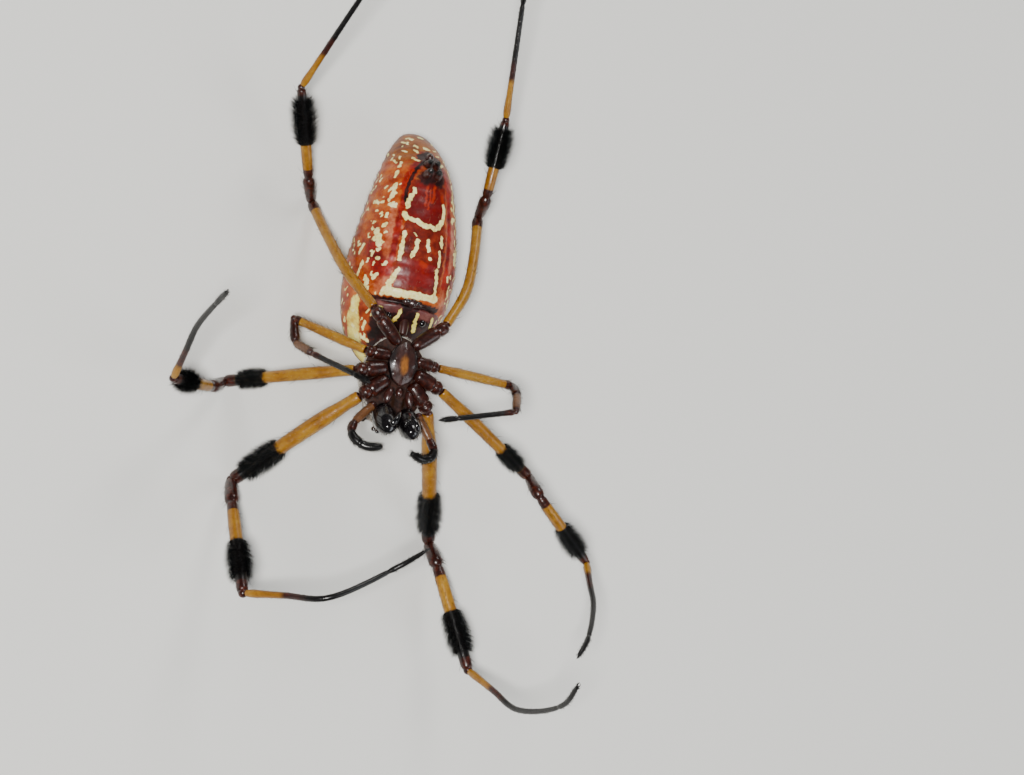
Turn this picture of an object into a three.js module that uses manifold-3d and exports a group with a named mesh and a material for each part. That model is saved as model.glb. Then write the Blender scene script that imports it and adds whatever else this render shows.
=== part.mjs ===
import * as THREE from 'three';
import * as BufferGeometryUtils from 'three/addons/utils/BufferGeometryUtils.js';
import Module from 'manifold-3d';

const wasm = await Module();
wasm.setup();

// A female golden silk orb weaver, life size in millimetres, lying on its back with its belly
// up, as it hangs in its web: the head points to -Y and the spider's left is -X.
// Places inside the body are measured from the middle of the coxae, the body centre.
const coxaHeight = 10; // body centre above the surface that the spider lies on
const backRestY = 9.6; // middle of the flat on the abdomen's back
const seam = 0.3; // gap between neighbouring hard parts
const floorLevel = -coxaHeight;

// A stretch of a leg is [length, turn towards the head, rise], in millimetres and degrees.
// Thicknesses are radii at the stretch's base, middle and end. A brush of bristles is
// [middle, half length, reach]: shares of the femur or tibia, and millimetres from its axis.
const legPlans = [
  {
    number: 1,
    hip: [3.6, -3.1, 0],
    root: [1.95, -1.5, 0.1],
    coxaRadius: 0.78,
    kneeGap: 0.38,
    femurBrush: [0.77, 0.14, 1.5],
    tibiaBrush: [0.66, 0.2, 1.5],
    femurRadii: [0.62, 0.78, 0.6],
    tibiaRadii: [0.5, 0.6, 0.48],
    footRadii: [0.36, 0.29, 0.26],
    left: { femur: [16.4, 49, -38], patella: [3.6, 80, 46], tibia: [11.4, 93, 33],
      foot: [[9.2, -177, 49], [7.92, -147, 0], [3.6, -134, 41]] },
    right: { femur: [16.78, 60, -37], patella: [3.6, 87, 50], tibia: [11.4, 68, 13],
      foot: [[9.2, 59, 61], [7.9, -20, 80], [3.6, -97, 60]] },
  },
  {
    number: 2,
    hip: [4.5, -0.8, 0],
    root: [2.5, 0.0, 0.1],
    coxaRadius: 0.72,
    kneeGap: 0.38,
    femurBrush: [0.81, 0.1, 1.2],
    tibiaBrush: [0.66, 0.2, 1.35],
    femurRadii: [0.55, 0.66, 0.54],
    tibiaRadii: [0.48, 0.58, 0.46],
    footRadii: [0.35, 0.29, 0.26],
    left: { femur: [14.54, 13, -44], patella: [3.4, 34, 48], tibia: [9.6, 12, 46],
      foot: [[8.0, -79, 58], [5.5, -87, 71], [2.8, -63, 79]] },
    right: { femur: [14.2, 26, -11], patella: [3.4, 84, 51], tibia: [9.6, 34, -16],
      foot: [[7.0, 100, 45], [6.0, 115, 40], [2.8, 125, 30]] },
  },
  {
    number: 3,
    hip: [3.8, 1.3, 0],
    root: [2.45, 1.7, 0.1],
    coxaRadius: 0.55,
    kneeGap: 0.7,
    femurRadii: [0.43, 0.5, 0.42],
    tibiaRadii: [0.38, 0.42, 0.34],
    footRadii: [0.3, 0.27, 0.26],
    left: { femur: [8.8, -23, -40], patella: [2.6, 97, 16], tibia: [3.6, 119, 64],
      foot: [[3.4, 146, 53], [2.2, 146, 53], [1.9, 150, 42]] },
    right: { femur: [8.8, -1, -3], patella: [2.6, 104, 60], tibia: [3.6, 114, 47],
      foot: [[3.4, 162, -11], [2.2, 162, -11], [2.1, 163, -8]] },
  },
  {
    number: 4,
    hip: [3.9, 5.5, 0.5],
    root: [2.15, 3.55, 0.3],
    coxaRadius: 0.74,
    kneeGap: 0.38,
    tibiaBrush: [0.63, 0.23, 1.45],
    femurRadii: [0.5, 0.55, 0.5],
    tibiaRadii: [0.46, 0.54, 0.45],
    footRadii: [0.34, 0.28, 0.26],
    left: { femur: [16.49, -68, -40], patella: [3.4, -44, 48], tibia: [10.0, -62, 28],
      foot: [[7.4, -103, 40], [5.2, -103, 40], [2.8, -92, 53]] },
    right: { femur: [15.3, -73, -23], patella: [3.4, -120, 64], tibia: [8.33, -92, 17],
      foot: [[7.4, -103, 26], [5.2, -103, 26], [2.8, -109, 39]] },
  },
];

// The abdomen: its axis as [y, z] and its radii as [y, radius]
const abdomenStart = 1.2;
const abdomenEnd = 26.1;
const abdomenAxis = [[1.2, -6.9], [4, -6.1], [7, -5], [10.5, -4.5], [15.6, -4.2], [20.3, -4.4], [23.5, -5.4],
  [26.1, -6.9]];
const abdomenRadii = [[1.2, 0], [1.5, 1.3], [2.6, 2.8], [4.2, 4.15], [6.2, 5.15], [8.6, 5.65], [11, 5.75],
  [13.6, 5.45], [16.4, 4.95], [19, 4.4], [21.4, 3.75], [23.4, 2.95], [25, 1.95], [25.8, 1.1], [26.1, 0]];
const abdomenWidth = 0.97; // width over height
const abdomenRings = 21;
const abdomenSides = 26;

const eyeRadius = 0.25;
// Eyes on the right side of the head: name and place
const eyePlaces = [
  ['eye_anterior_median', 0.45, -5.95, -2.35],
  ['eye_posterior_median', 0.5, -5.62, -3.35],
  ['eye_anterior_lateral', 2.25, -5.15, -2.2],
  ['eye_posterior_lateral', 2.3, -4.75, -2.95],
];

// Spinnerets on the right side: name, x, y and radius
const spinneretPlans = [
  ['spinneret_anterior', 0.57, 20.2, 0.41],
  ['spinneret_posterior', 0.5, 21.4, 0.35],
];
const spinneretLength = 1.5;
const spinneretSink = 0.35; // how deep a spinneret's root sits in the abdomen
const socketGap = 0.5;
const tubercleY = 22.5;

// Locks of bristles in a brush
const brushRows = 4;
const locksPerRow = 6;
const lockWidth = 0.62;
const lockThickness = 0.5;
const lockLean = 38; // degrees between a lock and the leg

function finish(color, roughness) {
  return new THREE.MeshStandardMaterial({ color, roughness, metalness: 0 });
}

const shell = finish(0x6d6458, 0.55);
const jointShell = finish(0x2a120c, 0.3);
const amberShell = finish(0xc98420, 0.35);
const brownShell = finish(0x6a3a16, 0.4);
const darkShell = finish(0x1c1210, 0.4);
const jawShell = finish(0x0d0b0c, 0.15);
const eyeShell = finish(0x050506, 0.05);
const abdomenSkin = finish(0xa34a20, 0.4);

// Positions only, with shared vertices merged and empty triangles dropped
function weld(geometry) {
  geometry.deleteAttribute('normal');
  geometry.deleteAttribute('uv');
  const merged = BufferGeometryUtils.mergeVertices(geometry, 1e-4);
  const index = merged.index.array;
  const kept = [];
  for (let i = 0; i < index.length; i += 3) {
    const [a, b, c] = [index[i], index[i + 1], index[i + 2]];
    if (a !== b && b !== c && c !== a) {
      kept.push(a, b, c);
    }
  }
  merged.setIndex(kept);
  return merged;
}

function solid(geometry) {
  const merged = weld(geometry);
  return new wasm.Manifold(new wasm.Mesh({
    numProp: 3,
    vertProperties: new Float32Array(merged.attributes.position.array),
    triVerts: new Uint32Array(merged.index.array),
  }));
}

// The largest connected body of a solid, as a geometry
function largestBody(manifold) {
  const bodies = manifold.decompose();
  bodies.sort((a, b) => b.volume() - a.volume());
  const mesh = bodies[0].getMesh();
  const geometry = new THREE.BufferGeometry();
  geometry.setAttribute('position', new THREE.BufferAttribute(mesh.vertProperties, 3));
  geometry.setIndex(new THREE.BufferAttribute(mesh.triVerts, 1));
  return geometry;
}

const frameSteps = 60;
const roomSize = 200;
const aboveFloor = solid(
  new THREE.BoxGeometry(roomSize, roomSize, roomSize).translate(0, 0, floorLevel + roomSize / 2),
);

// A direction at right angles to a path that stays on one side of it
function sideOf(along) {
  const up = Math.abs(along.z) > 0.9 ? new THREE.Vector3(0, 1, 0) : new THREE.Vector3(0, 0, 1);
  return new THREE.Vector3().crossVectors(along, up).normalize();
}

// A round body along a path; radii holds [share of the length, radius]
function roundBody(path, radii, rings, sides) {
  const outline = new THREE.SplineCurve(radii.map(([share, radius]) => new THREE.Vector2(radius, share)));
  const profile = outline.getPoints(rings);
  for (const point of profile) {
    point.x = Math.max(point.x, 0);
  }
  profile[0].set(0, 0);
  profile[rings].set(0, 1);
  const geometry = new THREE.LatheGeometry(profile, sides);
  const position = geometry.attributes.position;
  const frames = path.computeFrenetFrames(frameSteps, false);
  const place = new THREE.Vector3();
  for (let i = 0; i < position.count; i += 1) {
    const share = THREE.MathUtils.clamp(position.getY(i), 0, 1);
    const frame = Math.round(share * frameSteps);
    place.copy(path.getPointAt(share));
    place.addScaledVector(frames.normals[frame], position.getX(i));
    place.addScaledVector(frames.binormals[frame], -position.getZ(i));
    position.setXYZ(i, place.x, place.y, place.z);
  }
  return geometry;
}

// A squashed ball with its middle, its half sizes and its turns about X and Z in degrees
function ball(middle, halfSizes, columns, rows, turnX = 0, turnZ = 0) {
  const geometry = new THREE.SphereGeometry(1, columns, rows);
  geometry.scale(...halfSizes);
  geometry.rotateX(THREE.MathUtils.degToRad(turnX));
  geometry.rotateZ(THREE.MathUtils.degToRad(turnZ));
  return geometry.translate(...middle);
}

const body = new THREE.Group();
body.position.set(0, -backRestY, coxaHeight);

function addPart(name, geometry, material) {
  const mesh = new THREE.Mesh(geometry, material);
  mesh.name = name;
  body.add(mesh);
  return mesh;
}

const sides = [['left', -1], ['right', 1]];

function vector(side, [x, y, z]) {
  return new THREE.Vector3(side * x, y, z);
}

// The end of a stretch of a leg
function stretchEnd(start, side, [length, turn, rise]) {
  const t = THREE.MathUtils.degToRad(turn);
  const r = THREE.MathUtils.degToRad(rise);
  const along = new THREE.Vector3(side * Math.cos(t) * Math.cos(r), -Math.sin(t) * Math.cos(r), Math.sin(r));
  return start.clone().addScaledVector(along, length);
}

// A point a given distance along the way from one point to another
function onWay(start, end, distance) {
  return start.clone().lerp(end, distance / start.distanceTo(end));
}

function legJoints(plan, side) {
  const pose = side < 0 ? plan.left : plan.right;
  const hip = vector(side, plan.hip);
  const knee = stretchEnd(hip, side, pose.femur);
  const patellaEnd = stretchEnd(knee, side, pose.patella);
  const ankle = stretchEnd(patellaEnd, side, pose.tibia);
  const footPoints = [ankle];
  for (const stretch of pose.foot) {
    footPoints.push(stretchEnd(footPoints[footPoints.length - 1], side, stretch));
  }
  return { hip, knee, patellaEnd, ankle, footPoints };
}

// Coxa and trochanter, a stout piece from the sternum's edge to the hip
function coxa(plan, side) {
  const path = new THREE.LineCurve3(vector(side, plan.root), vector(side, plan.hip));
  const r = plan.coxaRadius;
  const radii = [[0, 0], [0.05, r * 0.65], [0.28, r], [0.6, r * 0.88], [0.7, r * 0.74], [0.84, r * 0.86],
    [0.96, r * 0.55], [1, 0]];
  return roundBody(path, radii, 8, 8);
}

// A repeatable random number from 0 to 1
function randomFrom(seed) {
  let state = seed;
  return () => {
    state = (state * 16807) % 2147483647;
    return state / 2147483647;
  };
}

// One lock: a tapered blade along +Y, bent back towards the leg, its root at the origin
function lock(length) {
  const geometry = new THREE.ConeGeometry(lockWidth / 2, length, 3, 2);
  geometry.scale(1, 1, lockThickness / lockWidth);
  geometry.translate(0, length / 2, 0);
  const position = geometry.attributes.position;
  const bend = 0.16 * length;
  for (let i = 0; i < position.count; i += 1) {
    const share = position.getY(i) / length;
    position.setZ(i, position.getZ(i) - bend * share * share);
  }
  return geometry;
}

// Adds a brush of locks round a limb; radiusAt gives the limb's radius at a share of its path
function withBrush(bulk, path, span, brush, radius, random) {
  const [middle, half, reach] = brush;
  const [from, to] = span;
  const length = path.getLength();
  let bushy = bulk;
  for (let row = 0; row < brushRows; row += 1) {
    const place = middle + half * (((row + 0.35) / brushRows) * 2 - 1.1);
    const share = from + (to - from) * place;
    const along = path.getTangentAt(share);
    const axisPoint = path.getPointAt(share);
    const first = new THREE.Vector3().crossVectors(along, sideOf(along)).normalize();
    const swell = Math.sin((Math.PI * (row + 0.8)) / (brushRows + 0.6));
    for (let k = 0; k < locksPerRow; k += 1) {
      const angle = ((k + (row % 2) * 0.5 + 0.25 * random()) / locksPerRow) * 2 * Math.PI;
      const out = first.clone().applyAxisAngle(along, angle);
      const lean = THREE.MathUtils.degToRad(lockLean + 8 * random());
      const rise = (reach - radius) * (0.72 + 0.28 * swell) * (0.94 + 0.12 * random());
      const sink = radius * 0.55;
      const lockLength = (rise + sink) / Math.sin(lean);
      const way = out.clone().multiplyScalar(Math.sin(lean)).addScaledVector(along, Math.cos(lean));
      const flat = new THREE.Vector3().crossVectors(way, out).normalize();
      const back = new THREE.Vector3().crossVectors(flat, way).normalize();
      const turn = new THREE.Matrix4().makeBasis(flat, way, back);
      turn.setPosition(axisPoint.clone().addScaledVector(out, radius - sink));
      bushy = bushy.add(solid(lock(Math.min(lockLength, 0.4 * length)).applyMatrix4(turn)));
    }
  }
  return bushy;
}

// The femur, bowed outwards to clear the body; its far end rests on the surface below
function femur(plan, side, joints) {
  const start = onWay(joints.hip, joints.knee, seam + 0.12);
  const end = onWay(joints.knee, joints.hip, plan.kneeGap);
  const bow = plan.number === 4 ? 0.95 : 0.15;
  const out = new THREE.Vector3(side * bow, 0, bow * 0.3);
  const path = new THREE.CatmullRomCurve3([
    start,
    start.clone().lerp(end, 0.33).add(out),
    start.clone().lerp(end, 0.67).addScaledVector(out, 0.7),
    end,
  ]);
  const [base, middle, tip] = plan.femurRadii;
  const radii = [[0, 0], [0.012, base * 0.8], [0.08, base], [0.3, middle], [0.6, middle * 0.94], [0.88, tip],
    [0.965, tip * 1.1], [0.99, tip * 0.85], [1, 0]];
  let bulk = solid(roundBody(path, radii, 11, 10));
  if (plan.femurBrush) {
    const random = randomFrom(plan.number * 10 + side + 2);
    bulk = withBrush(bulk, path, [0, 1], plan.femurBrush, tip, random);
  }
  return largestBody(bulk.intersect(aboveFloor));
}

// Patella and tibia, bent at the joint between them
function tibia(plan, side, joints) {
  const start = onWay(joints.knee, joints.patellaEnd, plan.kneeGap + 0.12);
  const end = joints.ankle;
  const bend = joints.patellaEnd;
  const path = new THREE.CatmullRomCurve3([
    start,
    start.clone().lerp(bend, 0.8),
    bend.clone().lerp(end, 0.1),
    bend.clone().lerp(end, 0.5),
    end,
  ], false, 'centripetal');
  const joint = start.distanceTo(bend) / (start.distanceTo(bend) + bend.distanceTo(end));
  const rest = 1 - joint;
  const [base, middle, tip] = plan.tibiaRadii;
  const radii = [[0, 0], [0.015, base * 0.85], [joint * 0.45, base * 1.14], [joint * 0.9, base * 1.05],
    [joint + rest * 0.06, base * 0.86], [joint + rest * 0.35, middle], [joint + rest * 0.75, middle * 0.95],
    [joint + rest * 0.93, tip], [joint + rest * 0.985, tip * 0.8], [1, 0]];
  let bulk = solid(roundBody(path, radii, 13, 10));
  if (plan.tibiaBrush) {
    const random = randomFrom(plan.number * 10 + side + 6);
    bulk = withBrush(bulk, path, [joint, 1], plan.tibiaBrush, tip, random);
  }
  return largestBody(bulk.intersect(aboveFloor));
}

// Metatarsus and tarsus, slender and curved, with a blunt end that holds the claws
function foot(plan, joints) {
  const [first, second, ...others] = joints.footPoints;
  const start = onWay(first, second, seam + 0.25);
  const path = new THREE.CatmullRomCurve3(
    [start, start.clone().lerp(second, 0.5), second, ...others],
    false,
    'centripetal',
  );
  const [base, middle, tip] = plan.footRadii;
  const radii = [[0, 0], [0.01, base * 0.85], [0.05, base * 1.1], [0.15, base * 0.92], [0.45, middle],
    [0.76, tip], [0.8, tip * 1.08], [0.97, tip], [1, 0]];
  return roundBody(path, radii, 11, 8);
}

// The carapace's bulk: low and wide behind, narrower and high at the head
function carapaceBulk() {
  const [halfWidth, halfLength, depth] = [3.6, 4.75, 3.5];
  const middleY = -1.0;
  const rimZ = -1.15;
  const bellySide = 0.15;
  const geometry = new THREE.SphereGeometry(1, 24, 14);
  const position = geometry.attributes.position;
  for (let i = 0; i < position.count; i += 1) {
    const [x, y, z] = [position.getX(i), position.getY(i), position.getZ(i)];
    const head = THREE.MathUtils.smoothstep(-y, 0, 0.75);
    const rear = THREE.MathUtils.smoothstep(y, -0.1, 0.95);
    const width = halfWidth * THREE.MathUtils.lerp(1, 0.82, head);
    const deep = depth * THREE.MathUtils.lerp(1, 0.42, rear);
    position.setXYZ(i, x * width, middleY + y * halfLength, rimZ + z * (z < 0 ? deep : bellySide));
  }
  return solid(geometry);
}

function carapace() {
  let bulk = carapaceBulk();
  for (const [, side] of sides) {
    const [x, y, z] = [side * 2.2, -4.9, -2.55];
    bulk = bulk.add(solid(ball([x, y, z], [0.55, 0.5, 0.75], 12, 8, -25)));
    // a small horn on the thorax
    bulk = bulk.add(solid(ball([side * 0.8, -0.6, -4.2], [0.3, 0.32, 0.85], 10, 8)));
  }
  for (const [, side] of sides) {
    for (const [, x, y, z] of eyePlaces) {
      const socket = eyeRadius + seam;
      bulk = bulk.subtract(solid(ball([side * x, y, z], [socket, socket, socket], 8, 6)));
    }
  }
  return largestBody(bulk);
}

function sternum() {
  const outline = new THREE.Shape();
  outline.moveTo(-0.95, -1.35);
  outline.quadraticCurveTo(-1.55, -0.7, -1.5, 0.3);
  outline.quadraticCurveTo(-1.45, 1.6, -0.65, 2.6);
  outline.quadraticCurveTo(0, 3.2, 0.65, 2.6);
  outline.quadraticCurveTo(1.45, 1.6, 1.5, 0.3);
  outline.quadraticCurveTo(1.55, -0.7, 0.95, -1.35);
  outline.quadraticCurveTo(0, -1.6, -0.95, -1.35);
  const geometry = new THREE.ExtrudeGeometry(outline, {
    depth: 0.5,
    bevelThickness: 0.3,
    bevelSize: 0.2,
    bevelOffset: -0.2,
    bevelSegments: 2,
    curveSegments: 4,
  });
  return weld(geometry).translate(0, 0, 0.2);
}

// A fang's base segment, the black chelicera, leaning forwards
function chelicera(side) {
  const path = new THREE.CatmullRomCurve3([
    vector(side, [1.2, -4.75, -0.3]),
    vector(side, [1.25, -5.35, 0.9]),
    vector(side, [1.2, -6.25, 3.0]),
  ]);
  return roundBody(path, [[0, 0], [0.03, 0.8], [0.3, 1.03], [0.6, 1.0], [0.88, 0.72], [0.98, 0.4], [1, 0]], 10, 12);
}

// The fang, folded inwards across the chelicera's end
function fang(side) {
  const path = new THREE.CatmullRomCurve3([
    vector(side, [1.5, -6.15, 3.55]),
    vector(side, [1.15, -5.6, 3.75]),
    vector(side, [0.7, -4.85, 3.4]),
    vector(side, [0.42, -4.4, 2.85]),
  ]);
  return roundBody(path, [[0, 0], [0.06, 0.26], [0.35, 0.25], [0.7, 0.17], [0.95, 0.09], [1, 0]], 10, 8);
}

function palp(side) {
  const path = new THREE.CatmullRomCurve3([
    vector(side, [2.3, -3.8, 0.4]),
    vector(side, [4.1, -6.1, 0.5]),
    vector(side, [4.5, -7.1, 1.0]),
    vector(side, [4.25, -7.9, 1.5]),
    vector(side, [3.1, -8.5, 2.0]),
    vector(side, [1.5, -8.25, 2.5]),
  ], false, 'centripetal');
  const radii = [[0, 0], [0.02, 0.3], [0.12, 0.36], [0.33, 0.33], [0.4, 0.36], [0.5, 0.31], [0.64, 0.34],
    [0.72, 0.3], [0.85, 0.33], [0.97, 0.26], [1, 0]];
  return roundBody(path, radii, 13, 7);
}

// Value at y of a line of [y, value] points
function valueAt(points, y) {
  const next = Math.max(1, points.findIndex((point) => point[0] >= y));
  const [before, after] = [points[next - 1], points[next]];
  return THREE.MathUtils.mapLinear(y, before[0], after[0], before[1], after[1]);
}

// Height of the abdomen's belly line at a distance behind the body centre
function bellyLine(y) {
  return valueAt(abdomenAxis, y) + valueAt(abdomenRadii, y);
}

// The abdomen, its sections upright circles about the axis, with the flat of its back cut
function abdomenBulk() {
  const outline = new THREE.SplineCurve(abdomenRadii.map(([y, radius]) => new THREE.Vector2(radius, y)));
  const profile = outline.getPoints(abdomenRings);
  profile[0].set(0, abdomenStart);
  profile[abdomenRings].set(0, abdomenEnd);
  const spine = new THREE.SplineCurve(abdomenAxis.map(([y, z]) => new THREE.Vector2(y, z))).getPoints(60);
  const spinePoints = spine.map((point) => [point.x, point.y]);
  const geometry = new THREE.LatheGeometry(profile, abdomenSides);
  const position = geometry.attributes.position;
  for (let i = 0; i < position.count; i += 1) {
    const y = THREE.MathUtils.clamp(position.getY(i), abdomenStart, abdomenEnd);
    position.setXYZ(i, position.getX(i) * abdomenWidth, y, position.getZ(i) + valueAt(spinePoints, y));
  }
  return solid(geometry).intersect(aboveFloor);
}

// The waist between thorax and abdomen; grow widens it by the seam to cut its socket
function pedicel(grow) {
  const path = new THREE.LineCurve3(new THREE.Vector3(0, 4.1 - grow, -1.0), new THREE.Vector3(0, 6.1 + grow, -1.15));
  const r = 0.5 + grow;
  return roundBody(path, [[0, 0], [0.05, r * 0.85], [0.5, r], [0.95, r * 0.85], [1, 0]], 6, 12);
}

function epigynum(grow) {
  const place = [0, 7.6, bellyLine(7.6) + 0.05];
  return ball(place, [1.25 + grow, 0.62 + grow, 0.42 + grow], 16, 8);
}

function spinneret(side, x, y, radius, grow) {
  const root = new THREE.Vector3(side * x, y, bellyLine(y) - spinneretSink - grow);
  const reach = spinneretLength + spinneretSink + grow;
  const path = new THREE.LineCurve3(root, root.clone().add(new THREE.Vector3(0, reach * 0.35, reach * 0.8)));
  const r = radius + grow;
  return roundBody(path, [[0, 0], [0.04, r * 0.9], [0.4, r], [0.75, r * 0.75], [0.96, r * 0.45], [1, 0]], 6, 8);
}

function analTubercle(grow) {
  const place = [0, tubercleY, bellyLine(tubercleY) + 0.1];
  return ball(place, [0.42 + grow, 0.5 + grow, 0.55 + grow], 10, 6, -35);
}

function abdomen() {
  let bulk = abdomenBulk().subtract(solid(pedicel(seam)));
  bulk = bulk.subtract(solid(epigynum(seam)));
  bulk = bulk.subtract(solid(analTubercle(seam)));
  for (const [, x, y, radius] of spinneretPlans) {
    for (const [, side] of sides) {
      bulk = bulk.subtract(solid(spinneret(side, x, y, radius, socketGap)));
    }
  }
  return largestBody(bulk);
}

addPart('carapace', carapace(), shell);
addPart('sternum', sternum(), jointShell);
addPart('labium', ball([0, -2.25, 0.6], [0.34, 0.48, 0.35], 10, 8), jointShell);
addPart('pedicel', pedicel(0), jointShell);
addPart('abdomen', abdomen(), abdomenSkin);
addPart('epigynum', epigynum(0), jointShell);
addPart('anal_tubercle', analTubercle(0), jointShell);

for (const [word, side] of sides) {
  addPart(`maxilla_${word}`, ball([side * 1.08, -2.75, 0.7], [0.5, 0.85, 0.45], 12, 8, 0, side * 12), jointShell);
  addPart(`chelicera_${word}`, chelicera(side), jawShell);
  addPart(`fang_${word}`, fang(side), jawShell);
  addPart(`palp_${word}`, palp(side), brownShell);
  for (const [name, x, y, z] of eyePlaces) {
    const eye = addPart(`${name}_${word}`, new THREE.SphereGeometry(eyeRadius, 8, 6), eyeShell);
    eye.position.set(side * x, y, z);
  }
  for (const [name, x, y, radius] of spinneretPlans) {
    addPart(`${name}_${word}`, spinneret(side, x, y, radius, 0), jointShell);
  }
  for (const plan of legPlans) {
    const joints = legJoints(plan, side);
    const leg = `leg_${plan.number}_${word}`;
    addPart(`${leg}_coxa`, coxa(plan, side), jointShell);
    addPart(`${leg}_femur`, femur(plan, side, joints), amberShell);
    addPart(`${leg}_tibia`, tibia(plan, side, joints), brownShell);
    addPart(`${leg}_foot`, foot(plan, joints), darkShell);
  }
}

export default body;
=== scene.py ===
import math

import bpy
import numpy as np
from mathutils import Matrix, Vector


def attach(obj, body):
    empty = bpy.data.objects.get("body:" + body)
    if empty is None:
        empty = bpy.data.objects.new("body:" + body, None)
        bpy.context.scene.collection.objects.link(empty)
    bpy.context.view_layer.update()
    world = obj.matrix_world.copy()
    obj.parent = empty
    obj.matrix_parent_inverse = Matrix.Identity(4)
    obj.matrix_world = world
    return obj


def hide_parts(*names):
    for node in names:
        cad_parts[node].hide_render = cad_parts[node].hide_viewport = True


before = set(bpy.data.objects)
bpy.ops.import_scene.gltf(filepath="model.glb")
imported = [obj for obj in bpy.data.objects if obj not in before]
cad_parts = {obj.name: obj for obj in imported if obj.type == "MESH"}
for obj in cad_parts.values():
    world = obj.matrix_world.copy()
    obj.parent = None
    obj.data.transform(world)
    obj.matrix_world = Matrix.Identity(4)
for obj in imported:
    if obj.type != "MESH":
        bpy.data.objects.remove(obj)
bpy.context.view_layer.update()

# Golden silk orb weaver, adult female, lying on its back with the belly up.
# Lengths below are millimetres from the body centre, the middle of the coxae: x to the
# spider's right, y towards the tail, z towards the belly. Blender works in metres.
mm = 0.001
bodyPlace = {"coxaHeight": 10.0, "backRestY": 9.6}
rng = np.random.default_rng(7)
bothSides = (("Left", -1), ("Right", 1))


def toFrame(points):
    moved = np.asarray(points, float) + (0, -bodyPlace["backRestY"], bodyPlace["coxaHeight"])
    return moved * mm


def unit(v):
    v = np.asarray(v, float)
    return v / np.maximum(np.linalg.norm(v, axis=-1, keepdims=True), 1e-12)


def smoothStep(x, low, high):
    t = np.clip((x - low) / (high - low), 0, 1)
    return t * t * (3 - 2 * t)


def smoothLine(table, x):
    # a smooth curve through (x, y) points that never overshoots them
    xs, ys = np.array(table, float).T
    step = np.diff(xs)
    slope = np.diff(ys) / step
    tangent = np.zeros_like(ys)
    same = slope[:-1] * slope[1:] > 0
    tangent[1:-1][same] = 2 * slope[:-1][same] * slope[1:][same] / (slope[:-1][same] + slope[1:][same])
    tangent[0], tangent[-1] = slope[0], slope[-1]
    x = np.clip(x, xs[0], xs[-1])
    i = np.clip(np.searchsorted(xs, x) - 1, 0, len(step) - 1)
    t = (x - xs[i]) / step[i]
    low = ys[i] * (1 + 2 * t) * (1 - t) ** 2 + tangent[i] * step[i] * t * (1 - t) ** 2
    return low + ys[i + 1] * t * t * (3 - 2 * t) + tangent[i + 1] * step[i] * t * t * (t - 1)


# Camera at the photograph's angle: the spider is turned in its own frame, then framed
cameraPlan = {
    "roll": 24.0,        # degrees that the body turns its left side towards the camera
    "pitch": -11.0,      # degrees that the head end comes towards the camera
    "lean": 9.0,         # degrees that the body's long axis leans in the picture
    "distance": 350.0,
    "pixelsPerMm": 10.0,
    "bodyPixel": (400.0, 372.0),
    "picture": (1024.0, 775.0),
    "sensor": 36.0,
}


def makeCamera(plan):
    roll, pitch, lean = (math.radians(plan[k]) for k in ("roll", "pitch", "lean"))
    towards = np.array([-math.sin(roll) * math.cos(pitch), math.sin(pitch), math.cos(roll) * math.cos(pitch)])
    upright = np.array([math.sin(roll) * math.sin(pitch), math.cos(pitch), -math.cos(roll) * math.sin(pitch)])
    across = np.cross(upright, towards)
    up = upright * math.cos(lean) - across * math.sin(lean)
    right = across * math.cos(lean) + upright * math.sin(lean)
    width, height = plan["picture"]
    offX = (plan["bodyPixel"][0] - width / 2) / plan["pixelsPerMm"]
    offY = (height / 2 - plan["bodyPixel"][1]) / plan["pixelsPerMm"]
    aim = -(offX * right + offY * up)
    data = bpy.data.cameras.new("photoCamera")
    data.sensor_width = plan["sensor"]
    data.lens = plan["sensor"] * plan["distance"] * plan["pixelsPerMm"] / width
    data.clip_start = 0.01
    data.clip_end = 10.0
    camera = bpy.data.objects.new("photoCamera", data)
    axes = Matrix((right, up, towards)).transposed().to_4x4()
    axes.translation = Vector(toFrame(aim + towards * plan["distance"]))
    camera.matrix_world = axes
    bpy.context.scene.collection.objects.link(camera)
    bpy.context.scene.camera = camera


makeCamera(cameraPlan)
print("camera placed")


# Shader maths: a socket that can be used in Python expressions
class Value:
    def __init__(self, book, socket):
        self.book = book
        self.socket = socket

    def maths(self, operation, *others):
        return self.book.node("ShaderNodeMath", {"operation": operation}, self, *others)

    def __add__(self, other):
        return self.maths("ADD", other)

    def __radd__(self, other):
        return self.maths("ADD", other)

    def __sub__(self, other):
        return self.maths("SUBTRACT", other)

    def __rsub__(self, other):
        return self.book.node("ShaderNodeMath", {"operation": "SUBTRACT"}, other, self)

    def __mul__(self, other):
        return self.maths("MULTIPLY", other)

    def __rmul__(self, other):
        return self.maths("MULTIPLY", other)

    def between(self, low, high):
        # smooth step from 0 at low to 1 at high
        settings = {"interpolation_type": "SMOOTHSTEP"}
        return self.book.node("ShaderNodeMapRange", settings, self, low, high, 0.0, 1.0)


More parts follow.
